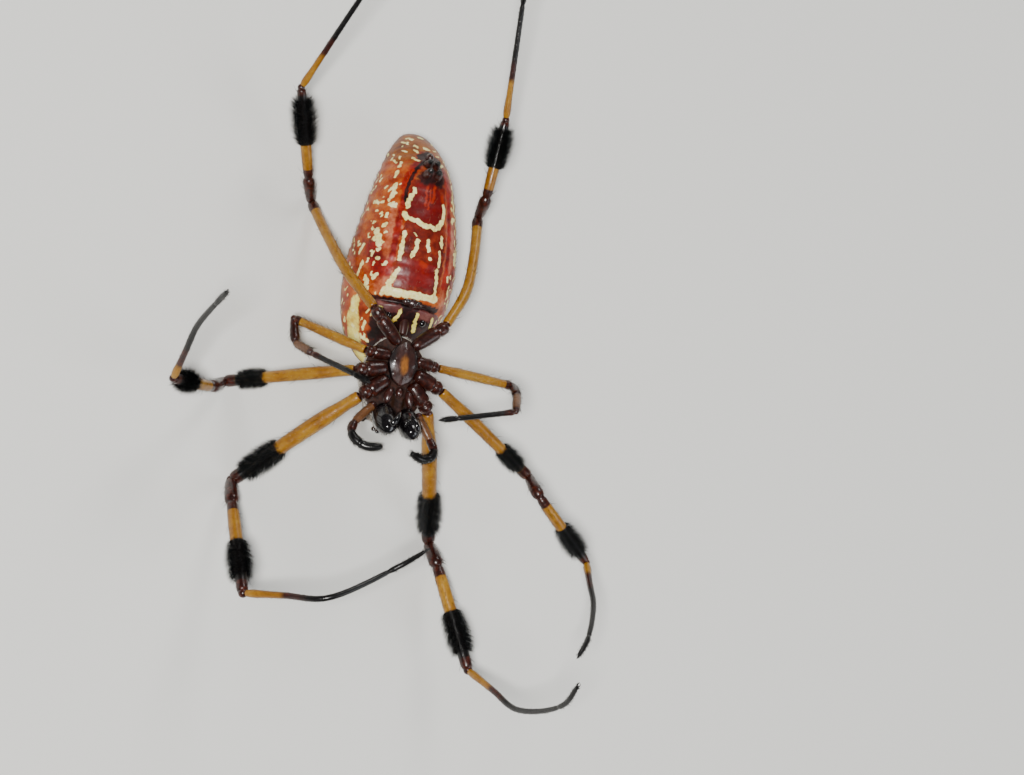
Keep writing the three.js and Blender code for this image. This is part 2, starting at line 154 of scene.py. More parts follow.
class NodeBook:
    # one material's node tree
    def __init__(self, name):
        self.material = bpy.data.materials.new(name)
        self.material.use_nodes = True
        self.tree = self.material.node_tree
        self.shader = self.tree.nodes["Principled BSDF"]

    def node(self, kind, settings, *values, output=0):
        made = self.tree.nodes.new(kind)
        for key, setting in settings.items():
            if key == "stops":
                self.setStops(made.color_ramp, setting)
            else:
                setattr(made, key, setting)
        sockets = [s for s in made.inputs if s.enabled]
        for socket, value in zip(sockets, values):
            self.feed(socket, value)
        outputs = [s for s in made.outputs if s.enabled]
        return Value(self, outputs[output])

    def setStops(self, ramp, stops):
        # a stop is (place, red, green, blue)
        while len(ramp.elements) < len(stops):
            ramp.elements.new(0.5)
        for element, (place, *colour) in zip(ramp.elements, stops):
            element.position = place
            element.color = (*tint(*colour), 1.0)

    def feed(self, socket, value):
        if value is None:
            return
        if isinstance(value, Value):
            self.tree.links.new(value.socket, socket)
        elif isinstance(value, tuple) and len(value) == 3 and socket.type == "RGBA":
            socket.default_value = (*value, 1.0)
        else:
            socket.default_value = value

    def mask(self, name):
        return self.node("ShaderNodeAttribute", {"attribute_name": name}, output=2)

    def place(self):
        return self.node("ShaderNodeTexCoord", {}, output=3)

    def noise(self, scale, detail=3.0, roughness=0.55):
        # scale is in cells a metre; the output runs about 0 to 1
        return self.node("ShaderNodeTexNoise", {}, self.place(), scale, detail, roughness)

    def cells(self, scale, feature="F1"):
        return self.node("ShaderNodeTexVoronoi", {"feature": feature}, self.place(), scale)

    def mix(self, factor, first, second):
        made = self.tree.nodes.new("ShaderNodeMix")
        made.data_type = "RGBA"
        self.feed(made.inputs[0], factor)
        self.feed(made.inputs[6], first)
        self.feed(made.inputs[7], second)
        return Value(self, made.outputs[2])

    def ramp(self, factor, stops):
        return self.node("ShaderNodeValToRGB", {"stops": stops}, factor)

    def bump(self, height, strength, distance):
        return self.node("ShaderNodeBump", {}, strength, distance, None, height)

    def finish(self, colour, roughness, normal=None, **constants):
        self.feed(self.shader.inputs["Base Color"], colour)
        self.feed(self.shader.inputs["Roughness"], roughness)
        if normal is not None:
            self.feed(self.shader.inputs["Normal"], normal)
        for key, value in constants.items():
            self.shader.inputs[key.replace("_", " ")].default_value = value
        return self.material


# Meshes
def addPiece(name, points, faces, material, slotName, nodes=(), marks=None, smooth=True):
    # points in body millimetres; faces a list or an array; marks are values at the points
    mesh = bpy.data.meshes.new(name)
    faces = faces if isinstance(faces, list) else faces.tolist()
    mesh.from_pydata(toFrame(points).tolist(), [], faces)
    for key, values in (marks or {}).items():
        layer = mesh.attributes.new(key, "FLOAT", "POINT")
        layer.data.foreach_set("value", np.asarray(values, np.float32))
    mesh.validate()
    if smooth:
        mesh.shade_smooth()
    mesh.materials.append(material)
    piece = bpy.data.objects.new(name, mesh)
    bpy.context.scene.collection.objects.link(piece)
    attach(piece, "root")
    if nodes:
        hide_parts(*nodes)
    return piece


def ringFaces(rings, sides):
    # quads of a tube whose first and last rings are closed by one point each
    i, j = np.meshgrid(np.arange(rings - 1), np.arange(sides), indexing="ij")
    k = (j + 1) % sides
    quads = np.stack([i * sides + j, i * sides + k, (i + 1) * sides + k, (i + 1) * sides + j], -1)
    first, last = rings * sides, rings * sides + 1
    side = np.arange(sides)
    nextSide = (side + 1) % sides
    caps = [[first, int(b), int(a)] for a, b in zip(side, nextSide)]
    end = (rings - 1) * sides
    caps += [[last, end + int(a), end + int(b)] for a, b in zip(side, nextSide)]
    return quads.reshape(-1, 4).tolist() + caps


def smoothPath(points, count):
    # centripetal Catmull-Rom through the points, evenly spaced by length
    p = np.asarray(points, float)
    p = np.vstack([2 * p[0] - p[1], p, 2 * p[-1] - p[-2]])
    dense = []
    for a, b, c, d in zip(p[:-3], p[1:-2], p[2:-1], p[3:]):
        knots = np.cumsum([0] + [max(np.linalg.norm(v) ** 0.5, 1e-6) for v in (b - a, c - b, d - c)])
        t = np.linspace(knots[1], knots[2], 40, endpoint=False)[:, None]
        ab = (knots[1] - t) * a / (knots[1] - knots[0]) + (t - knots[0]) * b / (knots[1] - knots[0])
        bc = (knots[2] - t) * b / (knots[2] - knots[1]) + (t - knots[1]) * c / (knots[2] - knots[1])
        cd = (knots[3] - t) * c / (knots[3] - knots[2]) + (t - knots[2]) * d / (knots[3] - knots[2])
        abc = (knots[2] - t) * ab / (knots[2] - knots[0]) + (t - knots[0]) * bc / (knots[2] - knots[0])
        bcd = (knots[3] - t) * bc / (knots[3] - knots[1]) + (t - knots[1]) * cd / (knots[3] - knots[1])
        dense.append((knots[2] - t) * abc / (knots[2] - knots[1]) + (t - knots[1]) * bcd / (knots[2] - knots[1]))
    dense = np.vstack(dense + [p[-2][None]])
    length = np.concatenate([[0], np.cumsum(np.linalg.norm(np.diff(dense, axis=0), axis=1))])
    even = np.linspace(0, length[-1], count)
    return np.stack([np.interp(even, length, dense[:, k]) for k in range(3)], -1), length[-1]


def pathFrames(path):
    # tangent, side and belly directions along a path, with no twist
    along = unit(np.gradient(path, axis=0))
    belly = np.zeros_like(along)
    start = np.array([0, 0, 1.0]) if abs(along[0][2]) < 0.9 else np.array([0, -1.0, 0])
    previous = start
    for i, t in enumerate(along):
        previous = unit(previous - t * np.dot(previous, t))
        belly[i] = previous
    return along, np.cross(along, belly), belly


def ballMesh(middle, halfSizes, columns=48, rows=32, turnX=0.0, turnZ=0.0, shape=None):
    # a squashed ball; shape moves the points of the unit ball first
    lat = np.linspace(0, np.pi, rows + 2)[1:-1]
    lon = np.linspace(0, 2 * np.pi, columns, endpoint=False)
    a, b = (m.ravel() for m in np.meshgrid(lat, lon, indexing="ij"))
    points = np.stack([np.sin(a) * np.cos(b), np.sin(a) * np.sin(b), np.cos(a)], -1)
    points = np.vstack([points, [[0, 0, 1], [0, 0, -1]]])
    if shape:
        points = shape(points)
    points = points * halfSizes
    turn = np.array(Matrix.Rotation(math.radians(turnZ), 3, "Z") @ Matrix.Rotation(math.radians(turnX), 3, "X"))
    faces = [list(reversed(f)) for f in ringFaces(rows, columns)]
    return points @ turn.T + middle, faces, {"dark": np.zeros(len(points))}


class Limb:
    # a round tapering limb along a path; angle 0 is the belly side
    def __init__(self, points, radii, rings=90, sides=28, wobble=0.0):
        self.path, self.length = smoothPath(points, rings)
        self.along, self.across, self.belly = pathFrames(self.path)
        self.share = np.linspace(0, 1, rings)
        self.radii = radii
        self.radius = np.maximum(smoothLine(radii, self.share), 0.0)
        self.sides = sides
        self.wobble = wobble

    def at(self, share, angle, lift=0.0):
        # points, outward directions and path directions at shares and angles
        place = np.stack([np.interp(share, self.share, self.path[:, k]) for k in range(3)], -1)
        along = unit(np.stack([np.interp(share, self.share, self.along[:, k]) for k in range(3)], -1))
        across = unit(np.stack([np.interp(share, self.share, self.across[:, k]) for k in range(3)], -1))
        belly = unit(np.stack([np.interp(share, self.share, self.belly[:, k]) for k in range(3)], -1))
        out = belly * np.cos(angle)[:, None] + across * np.sin(angle)[:, None]
        radius = smoothLine(self.radii, share) + lift
        return place + out * radius[:, None], out, along

    def mesh(self):
        rings, sides = len(self.share), self.sides
        angle = np.linspace(0, 2 * np.pi, sides, endpoint=False)
        out = self.belly[:, None] * np.cos(angle)[None, :, None] + self.across[:, None] * np.sin(angle)[None, :, None]
        ripple = 1 + self.wobble * np.sin(self.share * 61)[:, None] * np.sin(3 * angle + 2)[None]
        points = self.path[:, None] + out * (self.radius[:, None] * ripple)[..., None]
        points = points.reshape(-1, 3)
        points = np.vstack([points, self.path[:1], self.path[-1:]])
        share = np.concatenate([np.repeat(self.share, sides), [0, 1]])
        turn = np.concatenate([np.tile(angle / (2 * np.pi), rings), [0, 0]])
        return points, ringFaces(rings, sides), {"share": share, "turn": turn}


def aboveFloor(points, gap=0.03):
    # nothing reaches below the surface that the spider lies on
    low = -bodyPlace["coxaHeight"] + gap
    points[:, 2] = np.maximum(points[:, 2], low)
    return points


# Hairs: tapered three-sided blades, bent along their length, as one mesh
def hairMesh(roots, outs, alongs, lengths, widths, lean, bend, segments=3, spread=0.25, seedRng=None):
    draw = seedRng or rng
    n = len(roots)
    lean = np.broadcast_to(lean, (n,)) + draw.normal(0, 0.13, n)
    sideways = np.cross(outs, alongs)
    tilt = draw.normal(0, spread, n)[:, None]
    way = unit(outs * np.sin(lean)[:, None] + alongs * np.cos(lean)[:, None] + sideways * tilt)
    curve = unit(alongs - way * (alongs * way).sum(1, keepdims=True))
    flat = unit(np.cross(way, curve))
    t = np.linspace(0, 1, segments + 1)
    spine = roots[:, None] + way[:, None] * (lengths[:, None] * t)[..., None]
    spine = spine + curve[:, None] * (bend * lengths[:, None] * t ** 2)[..., None]
    size = widths[:, None] * (1 - 0.92 * t[:-1])
    corners = []
    for k in range(3):
        a = 2 * math.pi * k / 3
        out = flat[:, None] * math.cos(a) + curve[:, None] * math.sin(a)
        corners.append(spine[:, :-1] + out * size[..., None] / 2)
    body = np.stack(corners, 2).reshape(n, -1, 3)
    points = np.concatenate([body, spine[:, -1:]], 1)
    each = points.shape[1]
    faces = []
    for s in range(segments - 1):
        for k in range(3):
            a, b = s * 3 + k, s * 3 + (k + 1) % 3
            faces.append([a, b, b + 3])
            faces.append([a, b + 3, a + 3])
    last = (segments - 1) * 3
    for k in range(3):
        faces.append([last + k, last + (k + 1) % 3, each - 1])
    faces.append([0, 2, 1])
    faces = np.array(faces)
    allFaces = (faces[None] + (np.arange(n) * each)[:, None, None]).reshape(-1, 3)
    return points.reshape(-1, 3), allFaces, each


def joinParts(*parts):
    points, faces, marks = [], [], {}
    base = 0
    for place, face, mark in parts:
        points.append(place)
        faces += [[i + base for i in corners] for corners in face]
        for key, values in mark.items():
            marks.setdefault(key, []).append(values)
        base += len(place)
    return np.vstack(points), faces, {key: np.concatenate(values) for key, values in marks.items()}


def addCoat(name, tufts, material, slotName):
    # tufts: (points, faces, points in each hair, u, v, tone); u, v place a root on the skin's unwrap
    points, faces, places, tones, tips = [], [], [], [], []
    base = 0
    for place, face, each, u, v, tone in tufts:
        points.append(place)
        faces.append(face + base)
        base += len(place)
        places.append(np.repeat(np.stack([u, v], -1), each, axis=0))
        tones.append(np.repeat(np.broadcast_to(tone, (len(u),)), each))
        tips.append(np.tile(np.linspace(0, 1, each), len(u)))
    marks = {"tip": np.concatenate(tips), "tone": np.concatenate(tones)}
    places = np.vstack(places)
    piece = addPiece(name, aboveFloor(np.vstack(points)), np.vstack(faces), material, slotName, (), marks, False)
    layer = piece.data.uv_layers.new(name="OFBake")
    corner = np.empty(len(piece.data.loops), np.int32)
    piece.data.loops.foreach_get("vertex_index", corner)
    turn = np.arange(len(corner)) % 3
    patch = 0.003 * np.stack([turn == 1, turn == 2], -1)
    layer.data.foreach_set("uv", (np.clip(places[corner], 0, 0.996) + patch).astype(np.float32).ravel())
    return piece


def tint(red, green, blue):
    # a colour as a painter reads it, 0 to 255, made linear
    return tuple(((c / 255) / 12.92 if c <= 10 else ((c / 255 + 0.055) / 1.055) ** 2.4) for c in (red, green, blue))


def window(x, low, high, soft):
    return smoothStep(x, low - soft, low + soft) * (1 - smoothStep(x, high - soft, high + soft))


# Floor and lights
studio = {
    "floorSize": 6.0,
    "floorTint": tint(232, 232, 228),
    "worldTint": tint(225, 230, 235),
    "worldStrength": 0.13,
    # place from the spider in metres, size, watts, warmth; each light points at the spider
    "lights": [
        ("keyLight", (-0.28, -0.16, 0.62), 0.12, 6.2, (1.0, 0.98, 0.95)),
        ("fillLight", (0.55, -0.25, 0.45), 0.45, 1.6, (0.93, 0.97, 1.0)),
        ("rimLight", (0.1, 0.6, 0.4), 0.25, 1.6, (1.0, 0.99, 0.97)),
    ],
}


def makeStudio(plan):
    size = plan["floorSize"] / 2
    mesh = bpy.data.meshes.new("studioFloor")
    mesh.from_pydata([(-size, -size, 0), (size, -size, 0), (size, size, 0), (-size, size, 0)], [], [(0, 1, 2, 3)])
    book = NodeBook("paleFloor")
    mesh.materials.append(book.finish(plan["floorTint"], 0.8))
    floor = bpy.data.objects.new("studioFloor", mesh)
    bpy.context.scene.collection.objects.link(floor)
    world = bpy.data.worlds.new("studioWorld")
    world.use_nodes = True
    background = world.node_tree.nodes["Background"]
    background.inputs[0].default_value = (*plan["worldTint"], 1.0)
    background.inputs[1].default_value = plan["worldStrength"]
    bpy.context.scene.world = world
    for name, place, size, power, colour in plan["lights"]:
        data = bpy.data.lights.new(name, "AREA")
        data.shape = "DISK"
        data.size = size
        data.energy = power
        data.color = colour
        light = bpy.data.objects.new(name, data)
        light.location = place
        light.rotation_euler = (Vector((0, 0, 0.01)) - Vector(place)).to_track_quat("-Z", "Y").to_euler()
        bpy.context.scene.collection.objects.link(light)


makeStudio(studio)
print("studio ready")


# Leg materials; dark and black are marks on the mesh, their edges roughened by noise
legFinish = {
    "amber": [(0.3, 116, 72, 8), (0.46, 142, 94, 13), (0.62, 160, 116, 26), (0.78, 184, 148, 66)],
    "greyBrown": [(0.3, 74, 44, 24), (0.7, 122, 80, 46)],
    "redBrown": [(0.3, 26, 7, 5), (0.5, 46, 13, 7), (0.7, 78, 29, 14)],
    "black": [(0.3, 4, 4, 5), (0.8, 14, 9, 9)],
    "hairPale": tint(206, 188, 150),
    "hairDark": tint(44, 24, 12),
    "hairBlack": tint(4, 6, 7),
}


def makeLegSkin(name, plan, yellow="amber"):
    book = NodeBook(name)
    broad = book.noise(420, 3)
    grain = book.noise(2600, 4)
    edge = (grain - 0.5) * 0.3
    dark = (book.mask("dark") + edge).between(0.35, 0.65)
    black = (book.mask("black") + edge).between(0.3, 0.7)
    colour = book.ramp(broad * 0.7 + grain * 0.3, plan[yellow])
    colour = book.mix(dark, colour, book.ramp(grain, plan["redBrown"]))
    colour = book.mix(black, colour, book.ramp(grain, plan["black"]))
    roughness = 0.3 + grain * 0.16 - dark * 0.06
    pits = book.cells(3400)
    height = grain * 0.5 + pits.between(0.1, 0.45) * 0.6
    normal = book.bump(height, 0.5, 0.00004)
    return book.finish(colour, roughness, normal, Coat_Weight=0.22, Coat_Roughness=0.2, Specular_IOR_Level=0.4)


def makeHair(name, plan):
    book = NodeBook(name)
    tone = book.mask("tone")
    tip = book.mask("tip")
    colour = book.mix(tone.between(0.0, 0.5), plan["hairPale"], plan["hairDark"])
    colour = book.mix(tone.between(0.5, 1.0), colour, plan["hairBlack"])
    return book.finish(colour, 0.55 - tip * 0.12, None, Specular_IOR_Level=0.2)


legSkin = makeLegSkin("legCuticle", legFinish)
shortLegSkin = makeLegSkin("shortLegCuticle", legFinish, "greyBrown")
legHair = makeHair("legHair", legFinish)

# Legs: a stretch is [length, turn towards the head, rise]; a brush is [middle, half length,
# reach], shares of the femur or tibia and millimetres from its axis
legPlans = [
    {
        "number": 1, "hip": [3.6, -3.1, 0], "root": [1.2, -1.0, 0.25], "coxaRadius": 0.84,
        "femurBrush": [0.79, 0.14, 1.5], "tibiaBrush": [0.67, 0.2, 1.55], "tuftHairs": 3000,
        "femurRadii": [0.62, 0.8, 0.64], "tibiaRadii": [0.6, 0.66, 0.61], "footRadii": [0.37, 0.3, 0.26],
        "orangeFoot": 0.2, "redFoot": 0.33,
        "left": {"femur": [16.4, 49, -38], "patella": [3.6, 80, 46], "tibia": [11.4, 93, 33],
                 "foot": [[9.2, -177, 49], [7.92, -147, 0], [3.6, -134, 41]]},
        "right": {"femur": [16.78, 60, -37], "patella": [3.6, 87, 50], "tibia": [11.4, 68, 13],
                  "foot": [[9.2, 59, 61], [7.9, -20, 80], [3.6, -97, 60]]},
    },
    {
        "number": 2, "hip": [4.5, -0.8, 0], "root": [1.5, 0.1, 0.25], "coxaRadius": 0.8,
        "femurBrush": [0.81, 0.1, 1.2], "tibiaBrush": [0.68, 0.2, 1.35], "tuftHairs": 2300,
        "femurRadii": [0.55, 0.64, 0.56], "tibiaRadii": [0.52, 0.58, 0.5], "footRadii": [0.36, 0.3, 0.26],
        "orangeFoot": 0.12, "redFoot": 0.28,
        "left": {"femur": [14.54, 13, -44], "patella": [3.4, 34, 48], "tibia": [9.6, 12, 46],
                 "foot": [[8.0, -79, 58], [5.5, -87, 71], [2.8, -63, 79]]},
        "right": {"femur": [14.2, 26, -11], "patella": [3.4, 84, 51], "tibia": [9.6, 34, -16],
                  "foot": [[7.0, 100, 45], [6.0, 115, 40], [2.8, 125, 30]]},
    },
    {
        "number": 3, "hip": [3.8, 1.3, 0], "root": [1.35, 1.4, 0.25], "coxaRadius": 0.64,
        "femurRadii": [0.43, 0.5, 0.42], "tibiaRadii": [0.38, 0.42, 0.34], "footRadii": [0.3, 0.27, 0.26],
        "orangeFoot": 0.0, "redFoot": 0.15,
        "left": {"femur": [8.8, -23, -40], "patella": [2.6, 97, 16], "tibia": [3.6, 119, 64],
                 "foot": [[3.4, 146, 53], [2.2, 146, 53], [1.9, 150, 42]]},
        "right": {"femur": [8.8, -1, -3], "patella": [2.6, 104, 60], "tibia": [3.6, 114, 47],
                  "foot": [[3.4, 162, -11], [2.2, 162, -11], [2.1, 163, -8]]},
    },
    {
        "number": 4, "hip": [3.9, 5.5, 0.5], "root": [0.75, 2.6, 0.4], "coxaRadius": 0.74,
        "tibiaBrush": [0.66, 0.25, 1.5], "tuftHairs": 3300,
        "femurRadii": [0.5, 0.55, 0.52], "tibiaRadii": [0.5, 0.56, 0.48], "footRadii": [0.35, 0.29, 0.26],
        "orangeFoot": 0.26, "redFoot": 0.4,
        "left": {"femur": [16.49, -68, -40], "patella": [3.4, -44, 48], "tibia": [10.0, -62, 28],
                 "foot": [[7.4, -103, 40], [5.2, -103, 40], [2.8, -92, 53]]},
        "right": {"femur": [15.3, -73, -23], "patella": [3.4, -120, 64], "tibia": [8.33, -92, 17],
                  "foot": [[7.4, -103, 26], [5.2, -103, 26], [2.8, -109, 39]]},
    },
]


def legJoints(plan, side):
    pose = plan["left" if side < 0 else "right"]

    def stretch(start, piece):
        turn, rise = math.radians(piece[1]), math.radians(piece[2])
        way = (side * math.cos(turn) * math.cos(rise), -math.sin(turn) * math.cos(rise), math.sin(rise))
        return start + piece[0] * np.array(way)

    hip = np.array(plan["hip"], float) * (side, 1, 1)
    knee = stretch(hip, pose["femur"])
    bend = stretch(knee, pose["patella"])
    ankle = stretch(bend, pose["tibia"])
    joints = [ankle]
    for piece in pose["foot"]:
        joints.append(stretch(joints[-1], piece))
    return hip, knee, bend, joints


def onWay(start, end, distance):
    return start + (end - start) * distance / np.linalg.norm(end - start)


def scatterHairs(limb, low, high, count, length, width, lean, tone, strip, stripCount=4,
                 swell=0.0, bend=0.25, segments=3):
    # hairs on a limb between two shares; strip is the limb's own band of the unwrap
    share = rng.uniform(low, high, count)
    angle = rng.uniform(0, 2 * np.pi, count)
    roots, outs, alongs = limb.at(share, angle, -0.04)
    middle = np.sin(np.pi * np.clip((share - low) / max(high - low, 1e-6), 0, 1)) ** 0.6
    size = length * (1 - swell + swell * middle) * rng.uniform(0.68, 1.13, count)
    thick = width * rng.uniform(0.75, 1.2, count)
    points, faces, each = hairMesh(roots, outs, alongs, size, thick, math.radians(lean), bend, segments)
    toneOf = np.clip(tone(share) if callable(tone) else np.full(count, tone), 0, 1)
    return points, faces, each, share, (strip + 0.04 + 0.9 * angle / (2 * np.pi)) / stripCount, toneOf


def makeClaws(limb):
    # three small hooked claws on a foot's end
    tip, way = limb.path[-1], limb.along[-1]
    parts = []
    for turn in (-0.5, 0.5, 3.14):
        out = limb.belly[-1] * math.cos(turn) + limb.across[-1] * math.sin(turn)
        hook = [tip - way * 0.2 + out * 0.08, tip + way * 0.1 + out * 0.16, tip + way * 0.3 + out * 0.12]
        hook.append(tip + way * 0.42 - out * 0.02)
        claw = Limb(hook, [[0, 0], [0.1, 0.06], [0.6, 0.045], [1, 0.004]], 12, 8)
        points, faces, _ = claw.mesh()
        count = len(points)
        parts.append((points, faces, {"dark": np.zeros(count), "black": np.ones(count)}))
    return parts


def jointBall(middle, radius, marks):
    # the dark membrane between two stretches
    points, faces, _ = ballMesh(middle, (radius,) * 3, 24, 16)
    values = {key: np.zeros(len(points)) for key in marks}
    values["dark"] = np.ones(len(points))
    return points, faces, values


# Brushes: the lean of their hairs in degrees, and how far they pass the solid's locks
brushPlan = {"reachAngle": 58, "overshoot": 1.08, "hairLean": 70, "hairWidth": 0.03, "swell": 0.42, "bend": 0.3}


def brushHairs(limb, low, high, count, reach, tip, strip):
    plan = brushPlan
    length = plan["overshoot"] * ((reach - tip) / math.sin(math.radians(plan["reachAngle"])))
    return scatterHairs(limb, low, high, count, length, plan["hairWidth"], plan["hairLean"], 1.0, strip, 4,
                        plan["swell"], plan["bend"])


def makeLeg(plan, side):
    word = "left" if side < 0 else "right"
    node = f"leg_{plan['number']}_{word}"
    name = f"leg{plan['number']}{word.capitalize()}"
    short = plan["number"] == 3
    skin = shortLegSkin if short else legSkin
    hip, knee, bend, joints = legJoints(plan, side)
    ankle = joints[0]
    coat = []

    # coxa and trochanter
    r = plan["coxaRadius"]
    root = np.array(plan["root"]) * (side, 1, 1)
    coxa = Limb([root, onWay(hip, root, -0.18)],
                [[0, 0], [0.04, 0.6 * r], [0.14, 0.85 * r], [0.35, 0.96 * r], [0.6, r], [0.69, 0.9 * r],
                 [0.725, 0.74 * r], [0.76, 0.86 * r], [0.86, 0.9 * r], [0.95, 0.76 * r], [0.985, 0.6 * r], [1, 0]],
                90, 40)
    points, faces, marks = coxa.mesh()
    marks["dark"] = np.full(len(points), 1.0)
    marks["black"] = 0.42 * (1 - smoothStep(marks["share"], 0.5, 0.8))
    addPiece(name + "Coxa", points, faces, legSkin, "dark_shell", (node + "_coxa",), marks)
    coat.append(scatterHairs(coxa, 0.08, 0.95, 160, 0.5, 0.03, 35, 0.6, 0))

    # femur, bowed outwards to clear the body
    start, end = onWay(hip, knee, 0.22), onWay(knee, hip, 0.12)
    bow = 0.95 if plan["number"] == 4 else 0.15
    out = np.array([side * bow, 0, 0.3 * bow])
    base, middle, tip = plan["femurRadii"]
    femur = Limb([start, start + 0.33 * (end - start) + out, start + 0.67 * (end - start) + 0.7 * out, end],
                 [[0, 0], [0.006, 0.72 * base], [0.02, 0.96 * base], [0.05, 1.02 * base], [0.09, base],
                  [0.3, middle], [0.6, 0.94 * middle], [0.88, tip], [0.95, 1.12 * tip], [0.985, 1.0 * tip],
                  [1, 0.3 * tip]], 130, 40, 0.012)
    points, faces, marks = femur.mesh()
    share = marks["share"]
    brush = plan.get("femurBrush")
    marks["dark"] = np.maximum(1 - smoothStep(share, 0.0, 0.02), smoothStep(share, 0.88, 0.93))
    marks["black"] = np.zeros(len(points))
    if brush:
        marks["black"] = 0.85 * window(share, brush[0] - brush[1] - 0.02, brush[0] + brush[1], 0.025)
        low, high = brush[0] - brush[1] - 0.04, brush[0] + brush[1] - 0.03
        coat.append(brushHairs(femur, low, high, plan["tuftHairs"], brush[2], tip, 1))
    membranes = jointBall(hip, 0.6 * base, marks), jointBall(knee, 0.86 * tip, marks)
    points, faces, marks = joinParts((points, faces, marks), *membranes)
    addPiece(name + "Femur", aboveFloor(points, 0.0), faces, legSkin, "femur", (node + "_femur",), marks)
    coat.append(scatterHairs(femur, 0.03, 0.97, 520, 0.42, 0.024, 32, 0.35, 1, segments=2))
    coat.append(scatterHairs(femur, 0.02, 0.9, 900, 0.3, 0.02, 18, 0.0, 1, segments=2))
    coat.append(scatterHairs(femur, 0.05, 0.95, 26, 0.95, 0.055, 42, 0.6, 1))

    # patella and tibia
    start = onWay(knee, bend, 0.12)
    first, second = np.linalg.norm(bend - start), np.linalg.norm(ankle - bend)
    j = first / (first + second)
    rest = 1 - j
    base, middle, tip = plan["tibiaRadii"]
    tibia = Limb([start, start + 0.8 * (bend - start), bend + 0.1 * (ankle - bend), bend + 0.5 * (ankle - bend),
                  onWay(ankle, bend, 0.05)],
                 [[0, 0], [0.006, 0.8 * base], [0.02, 1.0 * base], [0.45 * j, 1.14 * base], [0.85 * j, 1.24 * base],
                  [0.96 * j, 1.12 * base], [j + 0.015 * rest, 0.84 * base], [j + 0.05 * rest, 0.98 * base],
                  [j + 0.35 * rest, middle], [j + 0.75 * rest, 0.95 * middle], [j + 0.93 * rest, tip],
                  [j + 0.985 * rest, 0.85 * tip], [1, 0]], 130, 40, 0.012)
    points, faces, marks = tibia.mesh()
    place = (marks["share"] - j) / rest
    brush = plan.get("tibiaBrush")
    marks["dark"] = np.maximum(1 - smoothStep(place, 0.08, 0.16), smoothStep(place, 0.82, 0.9))
    marks["black"] = np.zeros(len(points))
    if brush:
        marks["black"] = window(place, brush[0] - brush[1] - 0.02, brush[0] + brush[1] + 0.02, 0.03)
        low, high = brush[0] - brush[1] - 0.03, brush[0] + brush[1] - 0.04
        coat.append(brushHairs(tibia, j + low * rest, j + high * rest, plan["tuftHairs"], brush[2], tip, 2))
    if short:
        marks["dark"] *= 0.7
    points, faces, marks = joinParts((points, faces, marks), jointBall(ankle, 0.8 * tip, marks))
    addPiece(name + "Tibia", aboveFloor(points, 0.0), faces, skin, "tibia", (node + "_tibia",), marks)
    coat.append(scatterHairs(tibia, 0.03, 0.98, 560, 0.45, 0.026, 35, 0.5, 2, segments=2))
    coat.append(scatterHairs(tibia, 0.05, 0.97, 34, 0.95, 0.055, 44, 0.7, 2))

    # metatarsus and tarsus with its claws
    start = onWay(ankle, joints[1], 0.1)
    base, middle, tip = plan["footRadii"]
    foot = Limb([start, start + 0.5 * (joints[1] - start), *joints[1:]],
                [[0, 0], [0.006, 0.7 * base], [0.02, 0.95 * base], [0.05, 1.1 * base], [0.15, 0.92 * base],
                 [0.45, middle], [0.76, tip], [0.785, 0.8 * tip], [0.8, 1.05 * tip], [0.93, 0.95 * tip],
                 [0.985, 0.7 * tip], [1, 0]], 150, 28)
    points, faces, marks = foot.mesh()
    share = marks["share"]
    orange = plan["orangeFoot"]
    marks["dark"] = np.maximum(1 - smoothStep(share, 0.005, 0.02), smoothStep(share, orange - 0.1, orange + 0.11))
    marks["black"] = smoothStep(share, plan["redFoot"] - 0.13, plan["redFoot"] + 0.12)
    del marks["share"], marks["turn"]
    points, faces, marks = joinParts((points, faces, marks), *makeClaws(foot))
    addPiece(name + "Foot", aboveFloor(points), faces, skin, "foot", (node + "_foot",), marks)
    darkFoot = lambda s: 0.5 + 0.5 * smoothStep(s, 0.15, 0.4)
    coat.append(scatterHairs(foot, 0.03, 0.99, 900, 0.36, 0.026, 26, darkFoot, 3, segments=2))
    coat.append(scatterHairs(foot, 0.8, 0.99, 200, 0.4, 0.03, 50, 0.95, 3, segments=2))
    addCoat(name + "Coat", coat, legHair, "foot")


for plan in legPlans:
    for side in (-1, 1):
        makeLeg(plan, side)
print("legs ready")

# Abdomen. Places are (y, turn): millimetres behind the body centre, and degrees round the
# body from the middle of the belly, positive to the spider's right.
abdomenPlan = {
    "axis": [[1.2, -6.9], [4, -6.1], [7, -5], [10.5, -4.5], [15.6, -4.2], [20.3, -4.4], [23.5, -5.4], [26.1, -6.9]],
    "radii": [[1.2, 0], [1.5, 1.3], [2.6, 2.8], [4.2, 4.15], [6.2, 5.15], [8.6, 5.65], [11, 5.75], [13.6, 5.45],
              [16.4, 4.95], [19, 4.4], [21.4, 3.75], [23.4, 2.95], [25, 1.95], [25.8, 1.1], [26.1, 0]],
    "width": 0.97,
    "rings": 300,
    "sides": 330,
    "hairs": 7000,
    "flankSpots": 400,
    "backSpots": 34,
    "tailStart": 20.5,
    "widest": 5.75,
    "hairTint": (tint(92, 48, 20), tint(150, 112, 80)),
    "orangeTint": tint(166, 42, 2),
}
